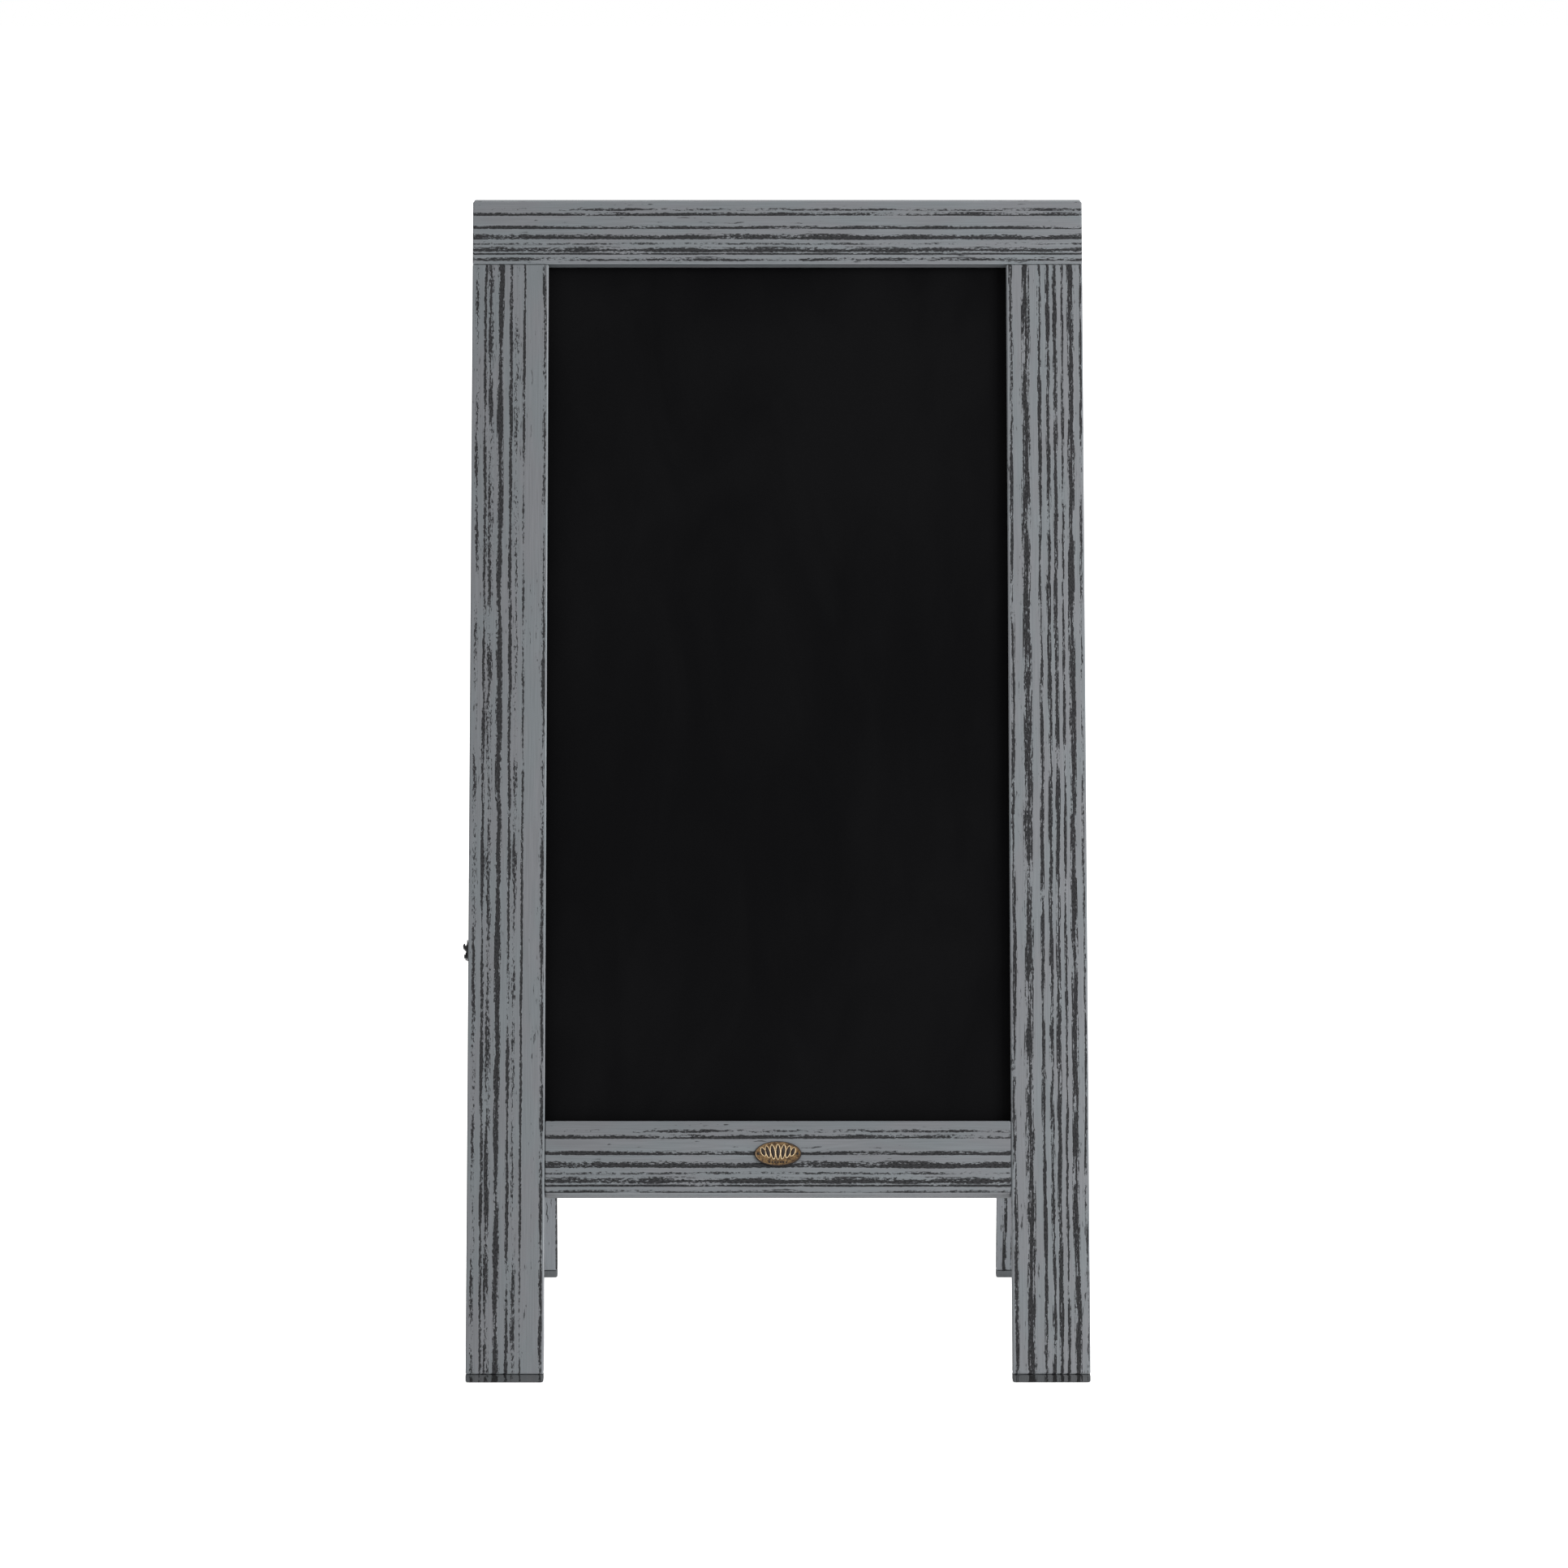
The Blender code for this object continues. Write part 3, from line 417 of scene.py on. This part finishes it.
def metal_material(name, low, high, roughness, metallic, scale, worn=None):
    """Metal mottled between two colours; worn is the colour where it is rubbed through."""
    n = Nodes(name, roughness=roughness, metallic=metallic, specular=0.4)
    place = n.add("ShaderNodeTexCoord", {}).outputs["Object"]
    cloud = n.noise(place, scale=scale, detail=4.0, roughness=0.6)
    grit = n.noise(place, scale=scale * 9, detail=2.0)
    colour = n.mix(n.smooth(cloud, 0.34, 0.66), linear(*low), linear(*high))
    if worn:
        rub = n.smooth(n.total((cloud, 0.5), (grit, 0.5)), 0.56, 0.66, 0.0, 0.6)
        colour = n.mix(rub, colour, linear(*worn))
    n.bump(grit, 0.00006, 0.5)
    rough = n.smooth(cloud, 0.3, 0.7, roughness * 0.8, min(1.0, roughness * 1.25))
    return n.finish(colour, rough)


def floor_material():
    """White floor that glows enough to melt into the white background."""
    n = Nodes("pale_floor", roughness=0.9, specular=0.0)
    n.shader.inputs["Emission Color"].default_value = WHITE
    n.shader.inputs["Emission Strength"].default_value = FLOOR_GLOW
    return n.finish((0.85, 0.85, 0.85, 1.0))


RAIL_LOOK = {"grain": RAIL_GRAIN, "wander": 0.006, "bare": 0.34, "ends": True}
LEFT_LOOK = {"grain": LEFT_GRAIN, "wander": 0.012}
RIGHT_LOOK = {"grain": RIGHT_GRAIN, "wander": 0.030}
STRINGY = {"strand": 2.8, "bare": 0.28}
# arris sets the strength of each board's painted highlight along its edge at fraction 1
MATERIAL = {
    "rail": wood_material("washed_rail", base=(98, 100, 103), arris=0.6, **RAIL_LOOK),
    "left": wood_material("washed_left_stile", base=(96, 98, 101), bare=0.36, arris=1.1, **LEFT_LOOK),
    "right": wood_material("washed_right_stile", base=(102, 104, 107), arris=0.15, **RIGHT_LOOK, **STRINGY),
    "left_foot": wood_material("washed_left_foot", shade=0.34, **LEFT_LOOK),
    "right_foot": wood_material("washed_right_foot", shade=0.34, **RIGHT_LOOK, **STRINGY),
    "back_rail": wood_material("washed_back_rail", base=(112, 114, 117), arris=0.3, **RAIL_LOOK),
    "back_left": wood_material("washed_back_left_stile", base=(114, 116, 120), bare=0.36, **LEFT_LOOK),
    "back_right": wood_material("washed_back_right_stile", base=(114, 116, 120), **RIGHT_LOOK, **STRINGY),
    "back_left_foot": wood_material("washed_back_left_foot", shade=0.60, bare=1.2, **LEFT_LOOK),
    "back_right_foot": wood_material("washed_back_right_foot", shade=0.60, bare=1.0, **RIGHT_LOOK),
    "bead": wood_material("stained_bead", RAIL_GRAIN[:3], 0.03, base=(100, 101, 104), bare=0.7),
    "board": chalkboard_material(),
    "board_back": hardboard_material(),
    "brass": metal_material("antique_brass", (60, 44, 29), (116, 92, 60), 0.45, 0.6, 420.0, (152, 126, 90)),
    "bright_brass": metal_material("rubbed_brass", (150, 128, 98), (196, 174, 138), 0.38, 0.6, 500.0),
    "patina": metal_material("dark_patina", (18, 11, 7), (36, 24, 16), 0.6, 0.3, 600.0),
    "pin": metal_material("dark_brass_pin", (16, 14, 12), (38, 32, 26), 0.45, 0.5, 700.0, (96, 84, 68)),
    "iron": metal_material("black_iron", (12, 12, 13), (26, 26, 28), 0.5, 0.3, 500.0, (52, 50, 48)),
    "hinge": metal_material("bronze_hinge", (40, 36, 32), (66, 60, 54), 0.42, 0.8, 240.0, (120, 108, 92)),
    "steel": metal_material("dark_zinc", (70, 70, 72), (112, 112, 114), 0.38, 0.9, 400.0),
    "zinc": metal_material("bright_zinc", (128, 130, 134), (172, 174, 178), 0.32, 1.0, 300.0),
}


# ---------------------------------------------------------------- shapes


def local_vertices(node, side):
    """A CAD node's vertices in its frame's folded coordinates."""
    return [UNTILT[side] @ vertex.co for vertex in frame["nodes"][node].data.vertices]


def local_box(node, side):
    """Lowest and highest corner of a CAD node in its frame's folded coordinates."""
    points = local_vertices(node, side)
    low = Vector([min(p[i] for p in points) for i in range(3)])
    high = Vector([max(p[i] for p in points) for i in range(3)])
    return low, high


def paint(obj, material):
    """Give an object one material in every slot."""
    if not obj.data.materials:
        obj.data.materials.append(material)
    for i in range(len(obj.data.materials)):
        obj.data.materials[i] = material


def store_grain(obj, values):
    """Write one vector for each vertex, given as a flat list, into the grain attribute."""
    attribute = obj.data.attributes.new("grain", "FLOAT_VECTOR", "POINT")
    attribute.data.foreach_set("vector", values)


def mark_grain(obj, side, along, over, start, width, shift, face):
    """Store where each vertex is in its board: metres along, fraction across and metres into it. Along and
    over are axes, start is the edge where the fraction is 0, and face is the y of the board's show face."""
    values = []
    for vertex in obj.data.vertices:
        p = UNTILT[side] @ (obj.matrix_world @ vertex.co)
        depth = abs(p.y - face)
        values += [p[along] + shift, abs(p[over] - start) / width + depth / width, depth]
    store_grain(obj, values)


def soften(obj, width, angle=BOARD_ANGLE):
    """Clean a CAD mesh's seams and round its sharp edges."""
    obj.modifiers.new("weld", "WELD").merge_threshold = 0.00002
    planar = obj.modifiers.new("planar", "DECIMATE")
    planar.decimate_type = "DISSOLVE"
    planar.angle_limit = math.radians(1.0)
    bevel = obj.modifiers.new("round", "BEVEL")
    bevel.width = width
    bevel.segments = 2
    bevel.limit_method = "ANGLE"
    bevel.angle_limit = math.radians(angle)
    bevel.harden_normals = True
    obj.data.shade_smooth()


def new_piece(name, bm, materials, place, body, replaces=()):
    """Turn a bmesh into a visible piece that rides on a body. Its coordinates go through the place matrix."""
    bmesh.ops.recalc_face_normals(bm, faces=bm.faces[:])
    mesh = bpy.data.meshes.new(name)
    bm.to_mesh(mesh)
    bm.free()
    mesh.transform(place)
    obj = bpy.data.objects.new(name, mesh)
    bpy.context.scene.collection.objects.link(obj)
    for material in materials:
        mesh.materials.append(MATERIAL[material])
    mesh.shade_smooth()
    if body:
        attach(obj, body)
    if replaces:
        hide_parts(*replaces)
    return obj


def build_rails(side, word, face, prefix):
    """A frame's two rails. Both were cut from the same printed length, so their grain starts alike."""
    for part, print_share in (("top_rail", 1.0), ("bottom_rail", BOTTOM_RAIL_PRINT)):
        node = f"{word}_{part}"
        low, high = local_box(node, side)
        obj = frame["nodes"][node]
        width = (high.z - low.z) * print_share
        mark_grain(obj, side, 0, 2, high.z, width, RAIL_SHIFT[side] - low.x, face)
        paint(obj, MATERIAL[prefix + "rail"])
        soften(obj, BOARD_EDGE)


def build_stiles(side, word, face, prefix):
    """A frame's two stiles and the dark bands under them, which share the stile's grain."""
    for part, part_shift in (("left", 0.0), ("right", RIGHT_STILE_SHIFT)):
        low, high = local_box(f"{word}_{part}_stile", side)
        for node, kind in ((f"{word}_{part}_stile", part), (f"{word}_{part}_foot_pad", f"{part}_foot")):
            obj = frame["nodes"][node]
            shift = STILE_SHIFT[side] + part_shift
            mark_grain(obj, side, 2, 0, low.x, high.x - low.x, shift, face)
            paint(obj, MATERIAL[prefix + kind])
            soften(obj, BOARD_EDGE)


def build_beads(side, word):
    """The four beads behind a frame's panel, and its loose tenons."""
    for number, part in enumerate(("top", "bottom", "left", "right")):
        node = f"{word}_{part}_bead"
        low, high = local_box(node, side)
        obj = frame["nodes"][node]
        along, over = (0, 2) if part in ("top", "bottom") else (2, 0)
        shift = number * BEAD_SHIFT + side
        mark_grain(obj, side, along, over, low[over], high[over] - low[over], shift, low.y)
        paint(obj, MATERIAL["bead"])
        soften(obj, BEAD_EDGE)
    for node in (name for name in frame["nodes"] if name.startswith(word) and name.endswith("_tenon")):
        low, high = local_box(node, side)
        obj = frame["nodes"][node]
        mark_grain(obj, side, 0, 2, low.z, high.z - low.z, TENON_SHIFT, low.y)
        paint(obj, MATERIAL["bead"])


def build_boards():
    """Wood, chalkboards, beads and feet: the CAD pieces with eased edges and their grain."""
    for side, word in SIDE_NAME.items():
        low, high = local_box(f"{word}_top_rail", side)
        face = low.y if side == FRONT else high.y
        prefix = "back_" if side == BACK else ""
        build_rails(side, word, face, prefix)
        build_stiles(side, word, face, prefix)
        build_beads(side, word)
        build_chalkboard(side, word)


def build_chalkboard(side, word):
    """The panel as one sheet: painted face outwards, bare hardboard inwards."""
    node = f"{word}_chalkboard"
    low, high = local_box(node, side)
    size = high - low
    bm = bmesh.new()
    bmesh.ops.create_cube(bm, size=1.0)
    for vertex in bm.verts:
        vertex.co = Vector([low[i] + (vertex.co[i] + 0.5) * size[i] for i in range(3)])
    bmesh.ops.bevel(bm, geom=bm.edges[:], offset=PANEL_EDGE, segments=2, affect="EDGES", profile=0.5)
    for axis, count in PANEL_STRIPS:
        for k in range(1, count):
            level = Vector((0, 0, 0))
            level[axis] = low[axis] + size[axis] * k / count
            normal = Vector([1.0 if i == axis else 0.0 for i in range(3)])
            geometry = bm.verts[:] + bm.edges[:] + bm.faces[:]
            bmesh.ops.bisect_plane(bm, geom=geometry, plane_co=level, plane_no=normal)
    middle = (low.y + high.y) / 2
    for face in bm.faces:
        painted = side * (face.calc_center_median().y - middle) > -PAINT_DEPTH
        face.material_index = 0 if painted else 1
    materials = ("board", "board_back")
    board = new_piece(f"{word}_writing_board", bm, materials, TILT[side], BODY[side], (node,))
    values = []
    for vertex in board.data.vertices:
        p = UNTILT[side] @ vertex.co
        # The sides are read two metres either way, so that the boards' haze differs.
        values += [p.x + side * 2, p.z, p.y]
    store_grain(board, values)


def dome(radius, base, rise, degrees):
    """Profile of a domed head, as (radius, level) pairs, at these angles up from its rim."""
    angles = [math.radians(angle) for angle in degrees]
    return [(radius * math.cos(a), base + rise * math.sin(a)) for a in angles]


def close_rings(bm, rings, dark_bands=0):
    """Join rings of vertices into a closed skin with flat ends. The first bands have the second material."""
    for band, (low, high) in enumerate(zip(rings, rings[1:])):
        for i in range(len(low)):
            j = (i + 1) % len(low)
            face = bm.faces.new((low[i], low[j], high[j], high[i]))
            face.material_index = 1 if band < dark_bands else 0
    bm.faces.new(rings[0])
    bm.faces.new(rings[-1])


def turned_bmesh(profile, sides=28):
    """A solid of revolution about +Z from (radius, level) pairs, closed at both ends."""
    bm = bmesh.new()
    rings = []
    for radius, level in profile:
        ring = []
        for i in range(sides):
            angle = 2 * math.pi * i / sides
            ring.append(bm.verts.new((radius * math.cos(angle), radius * math.sin(angle), level)))
        rings.append(ring)
    close_rings(bm, rings)
    return bm


def cut_recess(obj, place, top, arm, width, depth, cross=True):
    """Cut a driver recess, a cross or a straight slot, into a screw head."""
    bm = bmesh.new()
    for turn in (0.0, math.pi / 2) if cross else (0.0,):
        made = bmesh.ops.create_cube(bm, size=1.0)["verts"]
        for vertex in made:
            taper = DRIVER_TAPER if vertex.co.z < 0 and cross else 1.0
            x = vertex.co.x * 2 * arm * taper
            y = vertex.co.y * width
            z = top - depth if vertex.co.z < 0 else top + 0.001
            vertex.co = Matrix.Rotation(turn + DRIVER_TURN, 3, "Z") @ Vector((x, y, z))
    mesh = bpy.data.meshes.new("recess_guide")
    bm.to_mesh(mesh)
    bm.free()
    mesh.transform(place)
    cutter = bpy.data.objects.new("recess_guide", mesh)
    bpy.context.scene.collection.objects.link(cutter)
    modifier = obj.modifiers.new("recess", "BOOLEAN")
    modifier.object = cutter
    modifier.solver = "EXACT"
    modifier.use_self = True
    bpy.context.view_layer.update()
    graph = bpy.context.evaluated_depsgraph_get()
    cut_mesh = bpy.data.meshes.new_from_object(obj.evaluated_get(graph))
    obj.modifiers.remove(modifier)
    cut_mesh.name = obj.data.name
    obj.data = cut_mesh
    bpy.data.objects.remove(cutter)
    obj.data.shade_smooth()
    obj.data.set_sharp_from_angle(angle=math.radians(38))


def build_screw(node, side, axis, outward, domed, material, cross=True):
    """A screw with its driver recess, in place of its smooth CAD solid. Its head is at the outward end of
    the axis."""
    low, high = local_box(node, side)
    centre = (low + high) / 2
    # Each CAD vertex as (how far out along the axis, how far from the axis)
    measures = []
    for p in local_vertices(node, side):
        offset = p - centre
        measures.append((outward * p[axis], math.hypot(offset[(axis + 1) % 3], offset[(axis + 2) % 3])))
    top = max(out for out, r in measures)
    bottom = min(out for out, r in measures)
    head = max(r for out, r in measures)
    shank = max(r for out, r in measures if out < top - 0.45 * (top - bottom))
    if domed:
        # The head ends where the CAD solid narrows to its shank.
        rim = min(out for out, r in measures if r > head * 0.98)
        shank_top = rim
        profile = [(head * 0.94, rim)] + dome(head, rim, top - rim, [8 + 9.5 * k for k in range(9)])
    else:
        near_head = [(out, r) for out, r in measures if out > top - HEAD_ZONE]
        shank_top = min(out for out, r in near_head if abs(r - shank) < SAME_RADIUS)
        profile = [
            (shank + (head - shank) * 0.96, top - 0.00018),
            (head * 0.985, top - 0.00008),
            (head * 0.95, top),
            (head * 0.3, top),
        ]
    tip = [(shank * 0.25, bottom), (shank, bottom + SCREW_POINT), (shank, shank_top)]
    bm = turned_bmesh(tip + profile)
    turn = Matrix.Rotation(math.pi / 2, 4, "Y") if axis == 0 else Matrix.Rotation(-math.pi / 2, 4, "X")
    if outward < 0:
        turn = turn @ Matrix.Rotation(math.pi, 4, "X")
    centre[axis] = 0.0
    place = TILT[side] @ Matrix.Translation(centre) @ turn
    screw = new_piece(f"{node}_driver", bm, (material,), place, BODY[side], (node,))
    deep = min(DRIVER_DEPTH, (top - bottom) * 0.3)
    cut_recess(screw, place, top, head * 0.56, head * 0.26, deep, cross)


def build_fasteners():
    """Every screw of the sign."""
    for word in ("left", "right"):
        for side, name in SIDE_NAME.items():
            for number in (1, 2):
                node = f"hinge_{word}_{name}_screw_{number}"
                build_screw(node, side, 1, -side, False, "steel")
            build_screw(f"chain_screw_{word}_{name}", side, 1, -side, True, "steel")
    for node, side in (("catch_pivot_screw", FRONT), ("catch_plate_screw", FRONT), ("keeper_peg", BACK)):
        build_screw(node, side, 0, -1, True, "iron", cross=False)


def build_metalwork():
    """The hinge leaves, pins, catch and keeper: the CAD pieces with eased edges."""
    finishes = []
    for word in ("left", "right"):
        finishes.append((f"hinge_{word}_front_leaf", "hinge", HARDWARE_EDGE))
        finishes.append((f"hinge_{word}_back_leaf", "hinge", HARDWARE_EDGE))
        finishes.append((f"hinge_{word}_pin", "steel", PIN_EDGE))
    for node in ("catch_plate", "catch_hook", "keeper_washer"):
        finishes.append((node, "iron", HARDWARE_EDGE))
    for node, material, edge in finishes:
        obj = frame["nodes"][node]
        paint(obj, MATERIAL[material])
        soften(obj, edge, HARDWARE_ANGLE)


def tube(bm, path, radius, sides=8):
    """Add a closed round wire along a closed path."""
    count = len(path)
    rings = []
    for i, point in enumerate(path):
        forward = (path[(i + 1) % count] - path[i - 1]).normalized()
        up = (point - sum(path, Vector()) / count).normalized()
        up = (up - forward * up.dot(forward)).normalized()
        across = forward.cross(up)
        ring = []
        for k in range(sides):
            angle = 2 * math.pi * k / sides
            ring.append(bm.verts.new(point + radius * (math.cos(angle) * up + math.sin(angle) * across)))
        rings.append(ring)
    for i, ring in enumerate(rings):
        following = rings[(i + 1) % count]
        for k in range(sides):
            j = (k + 1) % sides
            bm.faces.new((ring[k], ring[j], following[j], following[k]))


def link(bm, centre, forward, wide, half_length):
    """Add one oval link: its inside is 2 * half_length long, and it lies in the plane of forward and wide."""
    bend = LINK_INSIDE_WIDTH / 2 + CHAIN_WIRE
    straight = half_length + CHAIN_WIRE - bend
    path = []
    for end in (1, -1):
        for k in range(7):
            angle = math.pi * (k / 6 - 0.5)
            x = end * (straight + bend * math.cos(angle))
            y = end * bend * math.sin(angle)
            path.append(centre + forward * x + wide * y)
    tube(bm, path, CHAIN_WIRE)


def end_link(word, side):
    """Centre and downward direction of the link that hangs from the neck of a chain's end screw."""
    name = SIDE_NAME[side]
    low, high = local_box(f"chain_screw_{word}_{name}", side)
    stile_low, stile_high = local_box(f"{name}_{word}_stile", side)
    inner = stile_high.y if side == FRONT else stile_low.y
    neck = Vector(((low.x + high.x) / 2, inner - side * NECK_GAP, (low.z + high.z) / 2))
    down = TILT[side].to_3x3() @ Vector((0, 0, -1))
    return TILT[side] @ neck + down * (LINK_INSIDE_LENGTH / 2 - NECK_RADIUS), down


def hanging_line(a, b):
    """A sagging line from a to b: its length, and a function for the point at a distance along it."""
    points = []
    for i in range(LINE_STEPS + 1):
        t = i / LINE_STEPS
        points.append(a.lerp(b, t) - Vector((0, 0, 4 * CHAIN_SAG * t * (1 - t))))
    run = [0.0]
    for p, q in zip(points, points[1:]):
        run.append(run[-1] + (q - p).length)

    def at(distance):
        i = next(k for k in range(1, LINE_STEPS + 1) if run[k] >= distance or k == LINE_STEPS)
        t = (distance - run[i - 1]) / (run[i] - run[i - 1])
        return points[i - 1].lerp(points[i], t)

    return run[-1], at


def build_chain(word):
    """A spread chain: oval links turned alternately, the end ones round their screws' necks."""
    half = LINK_INSIDE_LENGTH / 2
    seats = {side: end_link(word, side) for side in SIDE_NAME}
    a, b = [hang + down * (half - CHAIN_WIRE) for hang, down in seats.values()]
    whole, at = hanging_line(a, b)
    count = round((whole - 2 * CHAIN_WIRE) / LINK_INSIDE_LENGTH)
    count += 1 - count % 2
    pitch = (whole - 2 * CHAIN_WIRE) / count

    start, end = a + BLEND_INSET, b - BLEND_INSET
    stretch = end - start
    breaks = [round(share * count) for share in CHAIN_CUTS]
    for part, (first, last) in enumerate(zip(breaks, breaks[1:]), 1):
        bm = bmesh.new()
        for k in range(first, last):
            middle = CHAIN_WIRE + pitch * (k + 0.5)
            forward = (at(min(middle + pitch / 2, whole)) - at(middle - pitch / 2)).normalized()
            upright = (Vector((0, 0, 1)) - forward * forward.z).normalized()
            level = forward.cross(upright)
            link(bm, at(middle), forward, upright if k % 2 == 0 else level, pitch / 2)
        for side, (hang, down) in seats.items():
            if (side == FRONT and first == 0) or (side == BACK and last == count):
                link(bm, hang, down, Vector((1, 0, 0)), half)
        name = f"link_chain_{word}_{part}"
        node = f"spread_chain_{word}"
        piece = new_piece(name, bm, ("zinc",), Matrix.Identity(4), None, (node,))
        # Where each part starts and ends, as shares of the run between the chain's ends.
        shares = [
            (at(CHAIN_WIRE + pitch * k) - start).dot(stretch) / stretch.length_squared for k in (first, last)
        ]
        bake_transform(piece)


def build_plate(low, high):
    """The cast oval plate with its raised rim and dark edge."""
    centre = (low + high) / 2
    half_x, half_z = (high.x - low.x) / 2, (high.z - low.z) / 2
    bm = bmesh.new()
    rings = []
    for inset, depth in [(0.0, high.y)] + [(inset, low.y + drop) for inset, drop in PLATE_EDGE]:
        ring = []
        for i in range(PLATE_SIDES):
            angle = 2 * math.pi * i / PLATE_SIDES
            x = centre.x + (half_x - inset) * math.cos(angle)
            z = centre.z + (half_z - inset) * math.sin(angle)
            ring.append(bm.verts.new((x, depth, z)))
        rings.append(ring)
    close_rings(bm, rings, DARK_BANDS)
    materials = ("brass", "patina")
    new_piece("oval_plate", bm, materials, TILT[FRONT], BODY[FRONT], ("nameplate",))


def leaf_outline(x, y, z, turn, half_length):
    """Closed path round one leaf, pointed at both ends, which leans by turn radians."""
    path = []
    for i in range(LEAF_POINTS):
        angle = 2 * math.pi * i / LEAF_POINTS
        u = half_length * math.sin(angle)
        w = LEAF_HALF_WIDTH * math.copysign(abs(math.cos(angle)) ** LEAF_TAPER, math.cos(angle))
        leaf_x = x + w * math.cos(turn) + u * math.sin(turn)
        leaf_z = z + u * math.cos(turn) - w * math.sin(turn)
        path.append(Vector((leaf_x, y, leaf_z)))
    return path


def dot_outline(x, y, z):
    """Closed path round one small oval dot."""
    path = []
    for i in range(DOT_POINTS):
        angle = 2 * math.pi * i / DOT_POINTS
        dot_x = x + DOT_HALF_SIZE[0] * math.cos(angle)
        path.append(Vector((dot_x, y, z + DOT_HALF_SIZE[1] * math.sin(angle))))
    return path


def build_ornament(low, high):
    """A plain fan of leaves over a row of dots: raised bright outlines and dark recesses."""
    centre = (low + high) / 2
    field = low.y + FIELD_DEPTH
    outlines = bmesh.new()
    fills = bmesh.new()
    for x, turn, half_length in LEAF_ROWS:
        for sign in (-1, 1) if x else (1,):
            path = leaf_outline(centre.x + sign * x, field, centre.z + LEAF_RISE, turn * sign, half_length)
            tube(outlines, path, LEAF_WIRE, 6)
            fills.faces.new([fills.verts.new(p - Vector((0, LEAF_SINK, 0))) for p in path])
    for k in range(-DOTS_EACH_SIDE, DOTS_EACH_SIDE + 1):
        path = dot_outline(centre.x + k * DOT_PITCH, field, centre.z - DOT_DROP)
        fills.faces.new([fills.verts.new(p - Vector((0, DOT_SINK, 0))) for p in path])
    thick = bmesh.ops.extrude_face_region(fills, geom=fills.faces[:])
    for element in thick["geom"]:
        if isinstance(element, bmesh.types.BMVert):
            element.co.y += RECESS_THICKNESS
    for name, bm, material in (
        ("leaf_ornament", outlines, "bright_brass"),
        ("leaf_ornament_recesses", fills, "patina"),
    ):
        new_piece(name, bm, (material,), TILT[FRONT], BODY[FRONT])


def build_nameplate():
    """The oval nameplate, its ornament and its two domed pins."""
    low, high = local_box("nameplate", FRONT)
    build_plate(low, high)
    build_ornament(low, high)
    for word in ("left", "right"):
        node = f"nameplate_{word}_pin"
        low, high = local_box(node, FRONT)
        middle = (low + high) / 2
        radius = (high.x - low.x) / 2
        shank = [
            (radius * 0.4, low.y - high.y + PLATE_PIN_RISE),
            (radius * 0.5, PLATE_PIN_SEAT),
            (radius * 0.9, PLATE_PIN_SEAT),
        ]
        bm = turned_bmesh(shank + dome(radius, 0.0, PLATE_PIN_RISE, range(0, 88, 11)), PLATE_PIN_SIDES)
        seat = Matrix.Translation((middle.x, low.y + PLATE_PIN_RISE, middle.z))
        place = TILT[FRONT] @ seat @ Matrix.Rotation(math.pi / 2, 4, "X")
        new_piece(f"{node}_head", bm, ("pin",), place, BODY[FRONT], (node,))


# ---------------------------------------------------------------- stage


def add_to_scene(name, data, place):
    """Put a new object with this data in the scene."""
    obj = bpy.data.objects.new(name, data)
    bpy.context.scene.collection.objects.link(obj)
    obj.location = place
    return obj


def build_stage():
    """Pale floor, soft white studio light and the camera."""
    bm = bmesh.new()
    bmesh.ops.create_grid(bm, x_segments=1, y_segments=1, size=FLOOR_HALF_SIZE)
    mesh = bpy.data.meshes.new("studio_floor")
    bm.to_mesh(mesh)
    bm.free()
    mesh.materials.append(floor_material())
    floor = add_to_scene("studio_floor", mesh, (0, 0, CAD_BOX[0].z - FLOOR_GAP))

    world = bpy.data.worlds.new("studio")
    world.use_nodes = True
    background = world.node_tree.nodes["Background"]
    background.inputs["Color"].default_value = WHITE
    background.inputs["Strength"].default_value = 1.0
    bpy.context.scene.world = world

    for name, place, size, power in SOFTBOXES:
        light = bpy.data.lights.new(name, "AREA")
        light.shape = "SQUARE"
        light.size = size
        light.energy = power
        obj = add_to_scene(name, light, place)
        obj.rotation_euler = (LIGHT_TARGET - Vector(place)).to_track_quat("-Z", "Y").to_euler()

    camera = bpy.data.cameras.new("camera")
    camera.lens = CAMERA_LENS
    camera.sensor_width = 36.0
    camera.clip_end = 200.0
    obj = add_to_scene("camera", camera, CAMERA_PLACE)
    obj.rotation_euler = (math.radians(90 - CAMERA_DIP_DEGREES), 0, math.radians(CAMERA_TURN_DEGREES))
    bpy.context.scene.camera = obj
    bpy.context.scene.view_settings.view_transform = "Standard"


build_boards()
build_metalwork()
build_fasteners()
build_chain("left")
build_chain("right")
build_nameplate()
build_stage()
